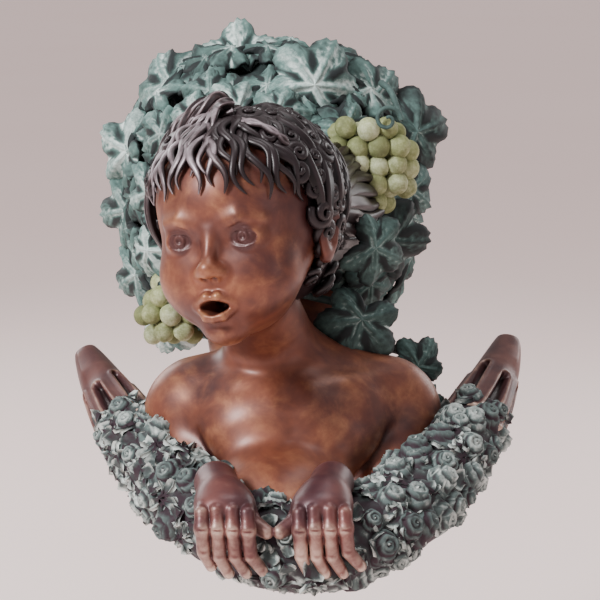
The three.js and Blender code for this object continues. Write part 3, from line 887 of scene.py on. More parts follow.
def leaf_shape(radius, cup, ruffle, rng, rows=12, columns=72):
    """A vine leaf with a wall: veins stand up, the blade swells between them and the rim curls."""
    turn = np.linspace(-np.pi, np.pi, columns, endpoint=False)
    share = np.linspace(0, 1, rows)[:, None] ** 0.85
    r = share * leaf_edge(turn)
    x, y = r * np.sin(turn), r * np.cos(turn)
    main, small = vein_gap(x, y)
    gap = np.minimum(main, small * 1.3 + 0.015)
    phase = rng.uniform(0, FULL_TURN, 3)
    thick, thin = np.exp(-((main / 0.05) ** 2)), np.exp(-((small / 0.032) ** 2))
    z = 0.06 * ramp(0.02, 0.15, gap) * (1 - 0.5 * share**3) + 0.085 * thick + 0.045 * thin
    z = z - cup * r**2 - 0.1 * share**8 + 0.1 * np.sin(2.2 * x + phase[2]) * r
    z = z + ruffle * share**2 * np.sin(5 * turn + phase[0]) * 0.6
    z = z + ruffle * share**3 * np.sin(9 * turn + phase[1]) * 0.4
    # Painted light and shade: the veins and the rim lighter, the blade between the veins darker.
    shade = 0.4 * thick + 0.24 * thin - 0.55 * ramp(0.04, 0.24, gap) + 0.3 * share**8
    wall = [0, 0, LEAF_WALL]
    top = np.stack([x, y, z], -1).reshape(-1, 3) * radius
    rim = top[-columns:] * [0.985, 0.985, 1] - wall
    low = np.stack([x * 0.985, y * 0.985, z], -1)[1:-1:2][::-1] * radius - wall
    vertices = np.vstack([top, rim, low.reshape(-1, 3), np.negative(wall)])
    first, middle = len(top), len(vertices) - 1
    faces = grid_faces(rows, columns)[:, ::-1].tolist()
    faces += ring_faces(columns, first - columns, first).tolist()
    faces += grid_faces(len(low) + 1, columns, start=first)[:, ::-1].tolist()
    faces += fan_faces(columns, middle - columns, middle).tolist()
    # The wall and the underside get a low tone: painted shade under the leaf.
    return vertices, faces, np.append(shade, np.full(len(vertices) - first, -0.1))


def placed(vertices, at, normal, up):
    """A shape that faces its own +Z, moved to a place so that it faces along normal."""
    z = unit(normal)
    x = unit(np.cross(up, z))
    y = np.cross(z, x)
    return vertices @ np.stack([x, y, z]) + np.asarray(at)


# Each leaf: its stalk's place across and up from the dome's middle, its radius, which way its
# middle lobe points, how far it stands off the dome and how it faces aside and up.
WREATH_LEAVES = (
    (-98, 118, 52, 128, 4, -0.35, 0.4),
    (-32, 144, 46, 98, -14, -0.1, 0.4),
    (42, 124, 56, 62, 20, 0.1, 0.4),
    (100, 110, 46, 40, 6, 0.4, 0.4),
    (142, 74, 50, 12, 18, 0.5, 0.1),
    (136, 20, 40, -30, 14, 0.6, 0.0),
    (114, -22, 48, -8, 34, 0.35, 0.0),
    (-140, 54, 46, 160, 8, -0.5, 0.1),
    (-144, -6, 44, 192, 6, -0.5, 0.0),
    (-134, -70, 42, 208, 8, -0.5, -0.1),
    (-104, -116, 38, 245, 18, -0.35, -0.1),
    (-30, 104, 38, 195, 12, 0.0, 0.3),
    (-72, 96, 34, 170, 20, -0.3, 0.3),
    (8, 104, 36, 10, 26, 0.2, 0.4),
    (72, 88, 34, -60, 30, 0.2, 0.2),
    (-104, 78, 36, 200, 22, -0.5, 0.2),
    (-116, 22, 36, 140, 26, -0.7, 0.1),
    (-118, -34, 34, 235, 26, -0.7, 0.0),
    (-100, -84, 30, 160, 30, -0.6, -0.2),
    (86, 8, 34, 120, 44, 0.4, 0.2),
    (96, -62, 34, -80, 30, 0.5, -0.2),
    (116, 52, 32, 100, 26, 0.6, 0.3),
    (-58, 118, 34, 100, 14, -0.2, 0.5),
    (60, 142, 34, 80, 2, 0.3, 0.7),
)
# The leaves beside the shoulder: each one's place from SHOULDER_SIDE, its radius, which way its
# middle lobe points and how it faces aside and up.
HUNG_LEAVES = (
    (-42, 0, 84, 46, -110, 0.12, 0.25),
    (-30, 14, 148, 40, -20, 0.5, 0.1),
    (12, 48, 30, 32, 50, 0.3, 0.2),
    (22, 40, -2, 24, -70, 0.5, 0.1),
)
SHOULDER_SIDE = point(102.6, -280, -102)


def dome_normal(at):
    """The way out of the dome at a place on it."""
    slope = [wreath_depth(at[0] + 2, at[2]) - wreath_depth(at[0] - 2, at[2])]
    slope.append(wreath_depth(at[0], at[2] + 2) - wreath_depth(at[0], at[2] - 2))
    return unit(np.array([-slope[0] / 4, -1, -slope[1] / 4]))


def wall_way(turn):
    """The way along the wall at a turn from its right."""
    return math.cos(turn), 0, math.sin(turn)


def lay_large_leaves(heap, rng):
    for x, z, radius, points, stand, aside, up in WREATH_LEAVES:
        x, z = WREATH_AT[0] + x, WREATH_AT[2] + z
        at = (x, -wreath_depth(x, z) - stand - 4, z)
        curled = x < -60
        cup = 0.24 + 0.26 * rng.random() + 0.12 * curled
        vertices, faces, shade = leaf_shape(radius, cup, 0.12 + 0.07 * curled, rng)
        tilt = rng.uniform(-0.12, 0.12, 2)
        normal = (aside + tilt[0], -1, up + tilt[1])
        # Leaves on the right get a lower tone and flatter veins: painted shade on the side away from the
        # light.
        right = float(ramp(40, 110, x - WREATH_AT[0]))
        tone = rng.uniform(0.42, 0.72) - 0.24 * right + (1 - 0.4 * right) * shade
        heap.add(placed(vertices, at, normal, wall_way(math.radians(points))), faces, tone)


def lay_small_leaves(heap, rng):
    """Smaller leaves that fill the dome behind the large ones."""
    for i in range(SMALL_COLUMNS):
        for j in range(SMALL_ROWS):
            x = WREATH_AT[0] - 132 + 33 * i + rng.uniform(-7, 7)
            z = WREATH_AT[2] - 146 + 32.5 * j + rng.uniform(-7, 7)
            behind_head = abs(x + 34) < 44 and z < 116
            if wreath_share(x, z) > 0.97 or behind_head:
                continue
            at = point(x, -wreath_depth(x, z), z)
            out = dome_normal(at) + rng.uniform(-0.18, 0.18, 3)
            way = wall_way(rng.uniform(0, FULL_TURN))
            vertices, faces, shade = leaf_shape(rng.uniform(29, 38), 0.16, 0.12, rng, 8, 52)
            heap.add(placed(vertices, at + unit(out) * 7, out, way), faces, rng.uniform(0.15, 0.5) + shade)


def lay_rim_leaves(heap, rng):
    """A last row of leaves that turns round to the wall."""
    for i in range(RIM_LEAVES):
        angle = 2 * math.pi * i / RIM_LEAVES
        if math.sin(angle) < -0.8:
            continue
        away = np.array(wall_way(angle))
        edge = 1 / float(wreath_share(WREATH_AT[0] + away[0], WREATH_AT[2] + away[2]))
        depth = -32 - 34 * (i % 2)
        reach = edge * math.sqrt(1 - (depth / WREATH_SIZE[2]) ** 2) - 1
        at = WREATH_AT + away * reach + point(0, depth, 0)
        out = away + rng.uniform(-0.15, 0.15, 3) - [0, 0.25, 0]
        vertices, faces, shade = leaf_shape(rng.uniform(27, 33), 0.25, 0.12, rng, 8, 46)
        way = np.cross(away, (0, 1, 0)) + [0, rng.uniform(-0.6, 0.6), 0]
        heap.add(placed(vertices, at + unit(out) * 3, out, way), faces, rng.uniform(0.2, 0.5) + shade)


def lay_hung_leaves(heap, rng):
    for x, y, z, radius, points, aside, up in HUNG_LEAVES:
        at = SHOULDER_SIDE + point(x, y, z)
        vertices, faces, shade = leaf_shape(radius, 0.34, 0.12, rng)
        spot = placed(vertices, at, (aside, -1, up), wall_way(math.radians(points)))
        heap.add(spot, faces, 0.34 + 0.6 * shade)


def leaves_heap():
    rng = np.random.default_rng(5)
    heap = Heap()
    for lay in (lay_large_leaves, lay_small_leaves, lay_rim_leaves, lay_hung_leaves):
        lay(heap, rng)
    return heap


def vines_heap():
    """The stalks of the hung leaves, and a tendril that curls over the larger bunch."""
    heap = Heap()
    for x, y, z, *_ in HUNG_LEAVES:
        at = SHOULDER_SIDE + point(x, y, z)
        knots = [at + point(0, 4, 0), at + point(0, 30, 4), at + point(-64, 90, 10)]
        heap.add(*tube(knots, lambda s: 4.0, 12, 8, (0, 0, 1)), 0.2)
    share = np.linspace(0, 1, 22)
    spin = 2.6 * np.pi * share
    reach = 13 * (1 - 0.8 * share)
    at = point(86, -196, 156)
    knots = at + np.stack([reach * np.cos(spin), -8 * share, reach * np.sin(spin)], 1)
    knots = np.vstack([[at + point(-4, 44, 30), at + point(4, 16, 24)], knots])
    heap.add(*tube(knots, lambda s: 3.4 - 1.8 * s, 60, 8, (0, -1, 0)), 0.3)
    return heap


def dome_form(p):
    share = wreath_share(p[:, 0], p[:, 2])
    lumps = 3.5 * np.sin(p[:, 0] / 13) * np.sin(p[:, 2] / 15 + 1) * np.sin(p[:, 1] / 17)
    flat = (np.hypot(share, p[:, 1] / WREATH_SIZE[2]) - 1) * 120
    inlet = np.maximum(np.hypot(p[:, 0], p[:, 2] + INLET_DROP) - INLET_RADIUS, -p[:, 1] - INLET_DEPTH)
    return np.maximum(np.maximum(flat + 7 + lumps * ramp(0, -20, p[:, 1]), p[:, 1]), -inlet)


# Grapes: one ripe grape, copied in rows over each bunch.

# Each bunch: its place across and up from the dome's middle, how far it stands off the dome and
# how many grapes its rows hold, from the top.
BUNCHES = (((92, 54), 28, (3, 4, 4, 4, 2)), ((-95, -88), 12, (1, 2, 3, 2)))
GRAPE_RADIUS = 10.4
GRAPE_SPACING = 19.0


def grape_shape():
    bpy.ops.object.select_all(action="DESELECT")
    bpy.ops.mesh.primitive_uv_sphere_add(segments=20, ring_count=14, radius=1)
    grape = bpy.context.object
    mesh = grape.data
    places = np.array([v.co for v in mesh.vertices], float)
    tip = np.exp(-(((places[:, 2] + 1) / 0.06) ** 2))
    places[:, 2] *= 1.08
    places[:, 2] += 0.10 * tip
    # A new sphere's faces come in another order each run, so they are sorted.
    faces = sorted(tuple(f.vertices) for f in mesh.polygons)
    bpy.data.objects.remove(grape)
    bpy.data.meshes.remove(mesh)
    return places, faces


def grapes_heap():
    rng = np.random.default_rng(3)
    heap = Heap()
    grape, faces = grape_shape()
    for (bx, bz), stand, rows in BUNCHES:
        bx, bz = WREATH_AT[0] + bx, WREATH_AT[2] + bz
        depth = wreath_depth(bx, bz) + stand
        for layer in (0, 1):
            for row, count in enumerate(rows):
                count = count + 1 if layer else count
                for i in range(count):
                    across = (i - (count - 1) / 2) * GRAPE_SPACING
                    crown = 0.45 * GRAPE_SPACING * math.cos(across / (count * GRAPE_SPACING) * math.pi)
                    drop = ((len(rows) - 1) / 2 - row) * GRAPE_SPACING * 0.9
                    at = point(bx + across, -depth - 11 - crown + 15 * layer, bz + drop - 5 * layer)
                    at = at + rng.uniform(-1.6, 1.6, 3)
                    turn = turn_matrix(*rng.uniform(-40, 40, 3))
                    size = GRAPE_RADIUS * rng.uniform(0.93, 1.07)
                    heap.add(grape * size @ turn.T + at, faces, rng.uniform(0.35, 0.65))
    return heap


# The crescent, its horns and the garland.

CRESCENT_SPAN = 414
CRESCENT_REACH = 456
HORN_REACH = 140
HORN_HEIGHT = -66
HORN_TILT = 6
CRESCENT_ASIDE = 11
CRESCENT_FOOT = -184
CRESCENT_THICKNESS = 74
HORN_TIP = 15
GARLAND_START = 0.2
BED_SHARE = 0.965  # of the crescent's radius
GARLAND_SPOTS, SPOT_TRIES = 176, 12
GARLAND_LEAVES, EVEN_LEAVES = 400, 290  # the leaves after the even ones lie in front


def crescent_point(share):
    share = np.asarray(share, float)
    turn = np.pi * share
    sweep = np.clip(np.sin(turn), 0, 1)
    x = -CRESCENT_SPAN / 2 * np.cos(turn) + CRESCENT_ASIDE * sweep
    y = -(HORN_REACH + (CRESCENT_REACH - HORN_REACH) * sweep**2.3)
    z = HORN_HEIGHT + (CRESCENT_FOOT - HORN_HEIGHT) * sweep**1.6 - HORN_TILT * np.cos(turn)
    return np.stack([x, y, z], -1)


def crescent_radius(share):
    from_tip = np.minimum(share, 1 - share) / GARLAND_START
    end = 0.38 * CRESCENT_THICKNESS
    grown = HORN_TIP / 2 + (end - HORN_TIP / 2) * np.clip(from_tip, 0, 1) ** 1.1
    full = end + (CRESCENT_THICKNESS / 2 - end) * np.clip((from_tip - 1) / 0.6, 0, 1)
    return np.where(from_tip < 1, grown, full)


def crescent_frame(share):
    along = unit(crescent_point(share + 0.004) - crescent_point(share - 0.004))
    up = unit(np.cross(np.cross(along, (0, 0, 1.0)), along))
    out = unit(np.cross(along, up))
    return along, up, out


def on_crescent(share, around, lift=0.0):
    """A place on the crescent's skin, its normal and the way along: around 0 is the front."""
    along, up, out = crescent_frame(share)
    normal = out * math.cos(around) + up * math.sin(around)
    place = crescent_point(share) + normal * (crescent_radius(share) + lift)
    return place, normal, along


SLOT_TURNS = (-2.5, -1.3, -0.15, 0.8, 1.8, 2.8)
SHEATH_END = 0.242


def horn_shape(side, rows=96, columns=108):
    """A horn whose sheath ends in tongues, parted by slots with raised rims, over the garland, with painted
    shade in the slots and behind the tongues' ends.
    """
    share = 0.003 + (SHEATH_END - 0.003) * np.linspace(0, 1, rows) ** 1.15
    angle = np.linspace(0, 2 * np.pi, columns, endpoint=False)
    steps = length(np.diff(crescent_point(share), axis=0))
    run = np.concatenate([[0], np.cumsum(steps)])
    rings, tones = [], []
    for i, s in enumerate(share):
        r = float(crescent_radius(s))
        cut = np.full(columns, 99.0)
        for k, turn in enumerate(SLOT_TURNS):
            off = r * np.abs((angle - turn + math.pi) % (2 * math.pi) - math.pi)
            start = np.interp(0.15 + 0.012 * (k % 2), share, run)
            along = run[i] - start
            width = 3.8 + 0.05 * max(0, along)
            cut = np.minimum(cut, np.hypot(min(along - width, 0), off) - width)
        rise = 1.9 * np.exp(-(((cut - 1.8) / 2.2) ** 2)) - 8 * ramp(0.8, -2.2, cut)
        left = run[-1] - run[i]
        rise = rise + 1.2 * np.exp(-(((left - 7) / 4) ** 2)) - 9 * ramp(5, 0, left)
        tip = math.sqrt(max(0.02, 1 - (1 - min(1, run[i] / 7)) ** 2))
        off = np.abs((angle - 0.5 + math.pi) % (2 * math.pi) - math.pi)
        facet = 1 + 0.16 * np.exp(-off / 0.4) * float(ramp(0.02, 0.07, s) * ramp(0.15, 0.12, s))
        reach = (r * facet + rise * float(ramp(0.02, 0.06, s))) * tip
        at = s if side < 0 else 1 - s
        _, up, out = crescent_frame(at)
        ring = (reach * np.cos(angle))[:, None] * out + (reach * np.sin(angle))[:, None] * up
        rings.append(crescent_point(at) + ring)
        # A lower tone in the slots and behind the tongues' ends paints shade there.
        tones.append(0.42 - 0.9 * ramp(0.2, -1.6, cut) - 0.9 * ramp(4, 0.5, left))
    vertices = np.vstack([*rings, rings[0].mean(0), rings[-1].mean(0)])
    foot = rows * columns
    faces = grid_faces(rows, columns).tolist() + fan_faces(columns, 0, foot).tolist()
    faces += fan_faces(columns, foot - columns, foot + 1)[:, [0, 2, 1]].tolist()
    if side < 0:
        faces = [f[::-1] for f in faces]
    return vertices, faces, np.append(tones, [0.42, 0.42])


def horns_heap():
    heap = Heap()
    for side in (-1, 1):
        heap.add(*horn_shape(side))
    return heap


def rose_shape(rng):
    """A rose as a carver shows it: a rolled bud in rings of petals, all one relief."""
    rows, columns = 14, 30
    turn = np.linspace(0, 2 * np.pi, columns, endpoint=False)[None]
    share = np.linspace(0, 1, rows)[:, None] ** 0.9
    z = 0.62 * (1 - share**2.2)
    phase = rng.uniform(0, FULL_TURN, 4)
    # Painted light and shade: each petal's lip lighter, the valley outside it darker and the rolled bud's
    # crests lighter.
    shade = 0
    for k, (reach, petals, rise) in enumerate(((0.97, 5, 0.22), (0.7, 5, 0.24), (0.45, 3, 0.2))):
        edge = reach * (0.84 + 0.16 * np.abs(np.cos(0.5 * petals * turn + phase[k])) ** 0.6)
        step = 1 / (1 + np.exp((share - edge) * 38))
        lip = np.exp(-(((share - edge + 0.035) / 0.05) ** 2))
        z = z + rise * step + 0.12 * lip - 0.5 * rise
        shade = shade + 0.8 * lip - 0.7 * np.exp(-(((share - edge - 0.06) / 0.05) ** 2))
    spiral = (share / 0.26 - turn / (2 * np.pi)) % 1
    roll = np.abs(spiral - 0.5) * 2
    z = z + (0.16 * roll**1.5 - 0.1) * ramp(0.5, 0.2, share)
    shade = shade + 1.3 * (roll - 0.45) * ramp(0.5, 0.25, share)
    wave = 1 + 0.07 * np.sin(5 * turn + phase[0]) * share
    x, y = share * wave * np.sin(turn), share * wave * np.cos(turn)
    z = np.where(share > 0.96, z - 0.42, z)
    top = np.stack([x, y, z], -1).reshape(-1, 3)
    rim = top[-columns:] * [0.9, 0.9, 1] - [0, 0, 0.45]
    sides = ring_faces(columns, len(top) - columns, len(top))
    faces = np.vstack([grid_faces(rows, columns)[:, ::-1], sides])
    # The rim's wall gets a low tone: painted shade under the rose.
    return np.vstack([top, rim]), faces, np.append(shade, np.full(columns, -0.4))


def petal_leaf(rng):
    """A small pointed rose leaf with a raised midrib, wavy and closed underneath."""
    rows, columns = 7, 5
    s = np.linspace(0, 1, rows)[:, None]
    across = np.linspace(-1, 1, columns)[None]
    width = 0.5 * np.sin(np.pi * s**0.8) ** 0.8 * (1 + 0.1 * np.sin(26 * s))
    bend = rng.uniform(0.1, 0.5)
    x = across * width
    y = s + 0 * across
    z = 0.16 * np.exp(-((across / 0.16) ** 2)) * (1 - s) + 0.22 * np.abs(across) * width * 2 - bend * s**2
    z = z + 0.05 * np.sin(14 * s + rng.uniform(0, 6)) * np.abs(across)
    top = np.stack([x, y, z], -1).reshape(-1, 3)
    low = top - [0, 0, 0.16]
    faces = grid_faces(rows, columns, closed=False)[:, ::-1]
    under = grid_faces(rows, columns, closed=False, start=len(top))
    edge = [i * columns for i in range(rows)] + [(rows - 1) * columns + j for j in range(1, columns)]
    edge += [i * columns + columns - 1 for i in range(rows - 2, -1, -1)] + list(range(columns - 2, 0, -1))
    ring = np.array(edge)
    after = np.roll(ring, -1)
    sides = np.stack([ring, after, after + len(top), ring + len(top)], -1)
    return np.vstack([top, low]), np.vstack([faces, under, sides])


def room_beside_hands(place):
    """How much room a place on the garland has: 0 under a hand, and 1 away from both."""
    if place[1] > -430 or place[2] < HAND_MIDDLES[1][2] - 62:
        return 1.0
    gap = min(abs(place[0] - at[0] - 4) for at in HAND_MIDDLES.values())
    return float(ramp(23, 44, gap))


def skin_way(along, normal, turn):
    """A direction in the crescent's skin, at a turn from the way along it."""
    return along * math.cos(turn) + np.cross(normal, along) * math.sin(turn)


def lay_bed(heap, first, last):
    """The dark bed that the flowers lie on."""
    line = crescent_point(np.linspace(first, last, 24))

    def radius(s):
        return BED_SHARE * float(crescent_radius(first + (last - first) * s))

    bed, faces = tube(line, radius, 110, 40, (0, 0, 1))
    lumps = np.sin(bed[:, 0] / 4.1) * np.sin(bed[:, 1] / 4.7 + 1) * np.sin(bed[:, 2] / 3.9)
    bed = bed + 1.6 * lumps[:, None] * unit(bed - line.mean(0))
    heap.add(bed, faces, np.clip(0.03 + 0.06 * lumps, 0, 0.1))


def random_spot(rng, first, last):
    return on_crescent(rng.uniform(first, last), rng.uniform(-math.pi, math.pi), -2.5)


def even_spots(rng, first, last):
    """Places over the crescent, each the farthest of a few tries from those before it."""
    spots = []
    while len(spots) < GARLAND_SPOTS:
        tries = [random_spot(rng, first, last) for _ in range(SPOT_TRIES)]
        best = 0
        if spots:
            taken = np.array([place for place, _, _ in spots])
            best = int(np.argmax([length(taken - place).min() for place, _, _ in tries]))
        spots.append(tries[best])
    return spots


def lay_flower(heap, rng, place, normal, along):
    """A rose, or now and then a star of five leaves."""
    room = room_beside_hands(place)
    if room == 0:
        return
    spin = rng.uniform(0, FULL_TURN)
    tilt = unit(normal + 0.22 * rng.normal(size=3))
    size = rng.uniform(14.5, 20.5) * (0.55 + 0.45 * room)
    low = float(ramp(-0.3, -0.8, normal[2]))
    if rng.random() < 0.8:
        rose, faces, shade = rose_shape(rng)
        rose = rose * [size, size, size * (1 - 0.4 * low)]
        spot = placed(rose, place - normal * (4.5 + 4 * low), tilt, skin_way(along, normal, spin))
        heap.add(spot, faces, rng.uniform(0.35, 0.8) + shade)
        return
    for k in range(5):
        leaf, faces = petal_leaf(rng)
        way = skin_way(along, normal, spin + 1.26 * k)
        out = place + normal * (2.5 - 6 * low)
        spot = placed(leaf * size * 1.35, out, unit(normal + 0.35 * way), way)
        heap.add(spot, faces, rng.uniform(0.1, 0.6))


def lay_garland_leaf(heap, rng, first, last):
    share = rng.uniform(first, last)
    place, normal, along = on_crescent(share, rng.uniform(-math.pi, math.pi), 0.5)
    room = room_beside_hands(place)
    if room == 0:
        return
    way = skin_way(along, normal, rng.uniform(0, FULL_TURN))
    leaf, faces = petal_leaf(rng)
    out = place + normal * (3 - 7 * float(ramp(-0.3, -0.8, normal[2])))
    size = rng.uniform(17, 25) * (0.6 + 0.4 * room)
    spot = placed(leaf * size, out, unit(normal + 0.4 * way), way)
    heap.add(spot, faces, rng.uniform(0.05, 0.6))


def garland_heap():
    rng = np.random.default_rng(21)
    heap = Heap()
    first, last = GARLAND_START + 0.02, 1 - GARLAND_START - 0.02
    lay_bed(heap, first, last)
    for spot in even_spots(rng, first, last):
        lay_flower(heap, rng, *spot)
    for i in range(GARLAND_LEAVES):
        run = (first - 0.01, last + 0.01) if i < EVEN_LEAVES else (0.41, 0.62)
        lay_garland_leaf(heap, rng, *run)
    return heap


# Sizes and colours that a user may change.


class FountainColours(bpy.types.PropertyGroup):
    skin: bpy.props.FloatVectorProperty(
        name="Brown bronze", description="Colour of the figure's patina", subtype="COLOR", size=3,
        default=(0.225, 0.068, 0.036), min=0, max=1,
    )
    rubbed: bpy.props.FloatVectorProperty(
        name="Rubbed bronze", description="Colour of the figure's high places", subtype="COLOR", size=3,
        default=(0.56, 0.27, 0.13), min=0, max=1,
    )
    leaf: bpy.props.FloatVectorProperty(
        name="Leaf verdigris", description="Colour of the wreath's leaves", subtype="COLOR", size=3,
        default=(0.125, 0.225, 0.205), min=0, max=1,
    )
    grape: bpy.props.FloatVectorProperty(
        name="Grape patina", description="Colour of the grapes", subtype="COLOR", size=3,
        default=(0.36, 0.4, 0.16), min=0, max=1,
    )


class FountainDetail(bpy.types.PropertyGroup):
    face_cell: bpy.props.FloatProperty(
        name="Head cell", description="Size of the smallest carved detail on the head",
        default=0.00145, min=0.001, max=0.01, unit="LENGTH",
    )
    body_cell: bpy.props.FloatProperty(
        name="Body cell", description="Size of the smallest carved detail on the body",
        default=0.0026, min=0.001, max=0.01, unit="LENGTH",
    )
    hand_cell: bpy.props.FloatProperty(
        name="Hand cell", description="Size of the smallest carved detail on the hands",
        default=0.0013, min=0.001, max=0.01, unit="LENGTH",
    )


# The stage, in metres and watts.

FLOOR_DROP = 0.62
CAMERA_LENS = 139.9
CAMERA_RISE = math.radians(10.37)
CAMERA_REACH = 2.2
CAMERA_AIM = (0.0047, -0.2, -0.0144)
# Each light: its name, place, size and power.
LIGHTS = (
    ("key", (-1.8, -1.8, 1.6), 0.8, 118),
    ("fill", (1.9, -1.8, 0.5), 1.2, 4),
    ("top", (0.2, -0.2, 2.2), 1.4, 22),
    ("back_left", (-1.6, 1.9, 0.9), 1.4, 24),
    ("back_right", (1.8, 1.7, 0.6), 1.4, 18),
)


class FOUNTAIN_OT_figure(bpy.types.Operator):
    """Carve the head, neck, shoulders, chest and the trunk that holds them to the wall"""

    bl_idname = "fountain.figure"
    bl_label = "Figure"

    def execute(self, context):
        detail = context.scene.fountain_detail
        colours = context.scene.fountain_colours
        tones = tuple(colours.skin), tuple(colours.rubbed)
        material = skin_bronze("brown_bronze", (0.06, 0.018, 0.017), *tones)
        points, faces = skin(head_skin_form, (-145, -470, -75), (60, -235, 185), detail.face_cell / MM)
        q = turned(points, HEAD_AT, HEAD_TURN)
        ears = ramp(62, 70, np.abs(q[:, 0]))
        eyes = ramp(14, 8, length(point(29, -80, -3) - q * (np.sign(q[:, :1]) * (1, 0, 0) + (0, 1, 1))))
        calm = away_from_seam(points) * (1 - 0.7 * ears)
        head = make_piece("head", points, faces, 0.5 - 0.2 * ears - 0.3 * eyes, 14, 3.2, calm)
        fit(head, material)
        points, faces = skin(body_skin_form, (-152, -466, -208), (148, 8, 70), detail.body_cell / MM)
        body = make_piece("body", points, faces, 0.5, 14, 4.5, away_from_seam(points))
        fit(body, material)
        return {"FINISHED"}


class FOUNTAIN_OT_hands(bpy.types.Operator):
    """Carve the two hands that lie over the rim"""

    bl_idname = "fountain.hands"
    bl_label = "Hands"

    def execute(self, context):
        detail = context.scene.fountain_detail
        points, faces = skin(hands_form, (-100, -512, -210), (82, -410, -95), detail.hand_cell / MM)
        # The fingers get a higher tone than the backs of the hands, and the pale third colour paints their
        # highlights: painted highlights on the fingers.
        tone = 0.34 + 0.2 * ramp(-124, -176, points[:, 2])
        colours = (0.055, 0.018, 0.024), (0.18, 0.06, 0.05), (0.8, 0.6, 0.48)
        material = skin_bronze("hand_bronze", *colours)
        fit(make_piece("hands", points, faces, tone, 12, 2.2), material)
        return {"FINISHED"}


class FOUNTAIN_OT_hair(bpy.types.Operator):
    """Lay the fringe, curls, long locks and the twisted band over the scalp"""

    bl_idname = "fountain.hair"
    bl_label = "Hair"

    def execute(self, context):
        # The pale third colour is rubbed bronze and paints the highlights along the locks' crests.
        colours = (0.014, 0.007, 0.009), (0.045, 0.022, 0.022), (0.58, 0.49, 0.54)
        material = skin_bronze("hair_bronze", *colours, wear=0.7)
        fit(hair_heap().mesh("hair", 5, 4.0), material)
        points, faces = skin(scalp_form, (-160, -450, -70), (75, -100, 190), 3.6)
        fit(make_piece("scalp", points, faces, 0.1, 6, 2), material)
        return {"FINISHED"}


class FOUNTAIN_OT_wreath(bpy.types.Operator):
    """Build the dome against the wall and lay the vine leaves over it"""

    bl_idname = "fountain.wreath"
    bl_label = "Wreath"

    def execute(self, context):
        green = tuple(context.scene.fountain_colours.leaf)
        material = verdigris("leaf_verdigris", (0.012, 0.017, 0.018), green, (0.64, 0.74, 0.71))
        fit(leaves_heap().mesh("leaves", 6), material)
        fit(vines_heap().mesh("vines", 4, 6.0), material)
        points, faces = skin(dome_form, (-190, -215, -120), (140, 6, 235), 5.0)
        # The dome's low tone makes it nearly black: painted shade behind and between the leaves.
        fit(make_piece("wreath_back", points, faces, 0.1, 5, 3), material)
        return {"FINISHED"}


class FOUNTAIN_OT_grapes(bpy.types.Operator):
    """Hang the two bunches of grapes in the wreath"""

    bl_idname = "fountain.grapes"
    bl_label = "Grapes"

    def execute(self, context):
        green = tuple(context.scene.fountain_colours.grape)
        material = verdigris("grape_verdigris", (0.04, 0.05, 0.03), green, (0.66, 0.7, 0.5), 0.1)
        fit(grapes_heap().mesh("grapes", 3, 3.0), material)
        return {"FINISHED"}


class FOUNTAIN_OT_horns(bpy.types.Operator):
    """Draw the crescent's smooth horns with their slotted sheaths"""

    bl_idname = "fountain.horns"
    bl_label = "Horns"

    def execute(self, context):
        colours = (0.06, 0.02, 0.022), (0.2, 0.078, 0.06), (0.62, 0.42, 0.33)
        material = skin_bronze("horn_bronze", *colours, wear=0.8)
        fit(horns_heap().mesh("horns", 10, 5.0), material)
        return {"FINISHED"}


class FOUNTAIN_OT_garland(bpy.types.Operator):
    """Wrap the crescent in roses, buds and leaves"""

    bl_idname = "fountain.garland"
    bl_label = "Garland"

    def execute(self, context):
        colours = (0.03, 0.015, 0.023), (0.11, 0.15, 0.145), (0.6, 0.65, 0.62)
        material = verdigris("garland_verdigris", *colours, metallic=0.2)
        fit(garland_heap().mesh("garland", 5), material)
        return {"FINISHED"}


def lay_floor():
    bpy.ops.mesh.primitive_circle_add(vertices=96, radius=40, fill_type="NGON", location=(0, 0, 0))
    floor = bpy.context.object
    floor.name = "floor"
    floor.data.transform(Matrix.Translation((0, 0, -FLOOR_DROP)))
    material, place, shader = start_material("pale_floor", 0, 0, 0.3, 0.2)
    shade = place.noise(0.7, 2).blend((0.88, 0.73, 0.7), (0.94, 0.81, 0.78))
    finish_material(place, shader, shade, place.noise(3, 2) * 0.1 + 0.8, place.noise(60, 2), 0.02)
    # The floor glows: its emission is painted light that brightens it and lights the fountain a little from
    # below.
    shader.inputs["Emission Color"].default_value = (1, 0.74, 0.7, 1)
    shader.inputs["Emission Strength"].default_value = 0.3
    floor.data.materials.append(material)


def light_studio(scene):
    world = bpy.data.worlds.new("studio")
    world.use_nodes = True
    background = world.node_tree.nodes["Background"]
    background.inputs[0].default_value = (0.97, 0.88, 0.88, 1)
    background.inputs[1].default_value = 0.5
    scene.world = world
    for name, place, size, power in LIGHTS:
        light = bpy.data.lights.new(name, "AREA")
        light.shape = "DISK"
        light.size = size
        light.energy = power
        lamp = bpy.data.objects.new(name, light)
        lamp.location = place
        tip = math.atan2(math.hypot(place[0], place[1]), place[2])
        lamp.rotation_euler = (tip, 0, math.atan2(-place[1], -place[0]) - math.pi / 2)
        scene.collection.objects.link(lamp)


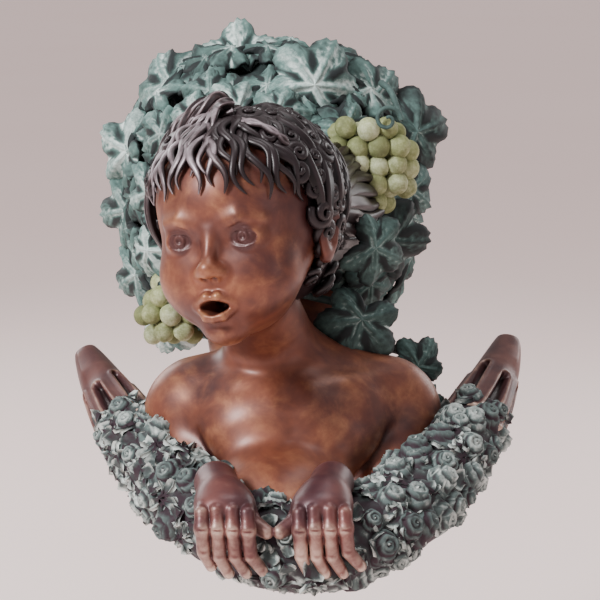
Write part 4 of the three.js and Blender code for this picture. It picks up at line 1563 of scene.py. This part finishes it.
def set_camera(scene):
    camera = bpy.data.cameras.new("camera")
    camera.sensor_width = 36
    camera.lens = CAMERA_LENS
    view = bpy.data.objects.new("camera", camera)
    away = point(0, -math.cos(CAMERA_RISE), math.sin(CAMERA_RISE)) * CAMERA_REACH
    view.location = np.array(CAMERA_AIM) + away
    view.rotation_euler = (math.pi / 2 - CAMERA_RISE, 0, 0)
    scene.collection.objects.link(view)
    scene.camera = view


class FOUNTAIN_OT_stage(bpy.types.Operator):
    """Set up the pale floor, the soft lights and the camera"""

    bl_idname = "fountain.stage"
    bl_label = "Stage"

    def execute(self, context):
        lay_floor()
        light_studio(context.scene)
        set_camera(context.scene)
        return {"FINISHED"}


class FOUNTAIN_PT_panel(bpy.types.Panel):
    """Lists the fountain's pieces"""

    bl_idname = "FOUNTAIN_PT_panel"
    bl_label = "Wall fountain"
    bl_space_type = "VIEW_3D"
    bl_region_type = "UI"
    bl_category = "Fountain"

    def draw(self, context):
        column = self.layout.column()
        for group in (context.scene.fountain_colours, context.scene.fountain_detail):
            for key in group.__annotations__:
                column.prop(group, key)
        for operator in OPERATORS:
            column.operator(operator.bl_idname)


OPERATORS = (
    FOUNTAIN_OT_stage,
    FOUNTAIN_OT_figure,
    FOUNTAIN_OT_hands,
    FOUNTAIN_OT_hair,
    FOUNTAIN_OT_wreath,
    FOUNTAIN_OT_grapes,
    FOUNTAIN_OT_horns,
    FOUNTAIN_OT_garland,
)
CLASSES = (FountainColours, FountainDetail, *OPERATORS, FOUNTAIN_PT_panel)


def register():
    for made in CLASSES:
        bpy.utils.register_class(made)
    bpy.types.Scene.fountain_colours = bpy.props.PointerProperty(type=FountainColours)
    bpy.types.Scene.fountain_detail = bpy.props.PointerProperty(type=FountainDetail)


def unregister():
    del bpy.types.Scene.fountain_detail
    del bpy.types.Scene.fountain_colours
    for made in reversed(CLASSES):
        bpy.utils.unregister_class(made)


def main():
    register()
    bpy.ops.fountain.stage()
    bpy.ops.fountain.figure()
    bpy.ops.fountain.hands()
    bpy.ops.fountain.hair()
    bpy.ops.fountain.wreath()
    bpy.ops.fountain.grapes()
    bpy.ops.fountain.horns()
    bpy.ops.fountain.garland()
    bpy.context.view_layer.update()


if __name__ == "__main__":
    main()
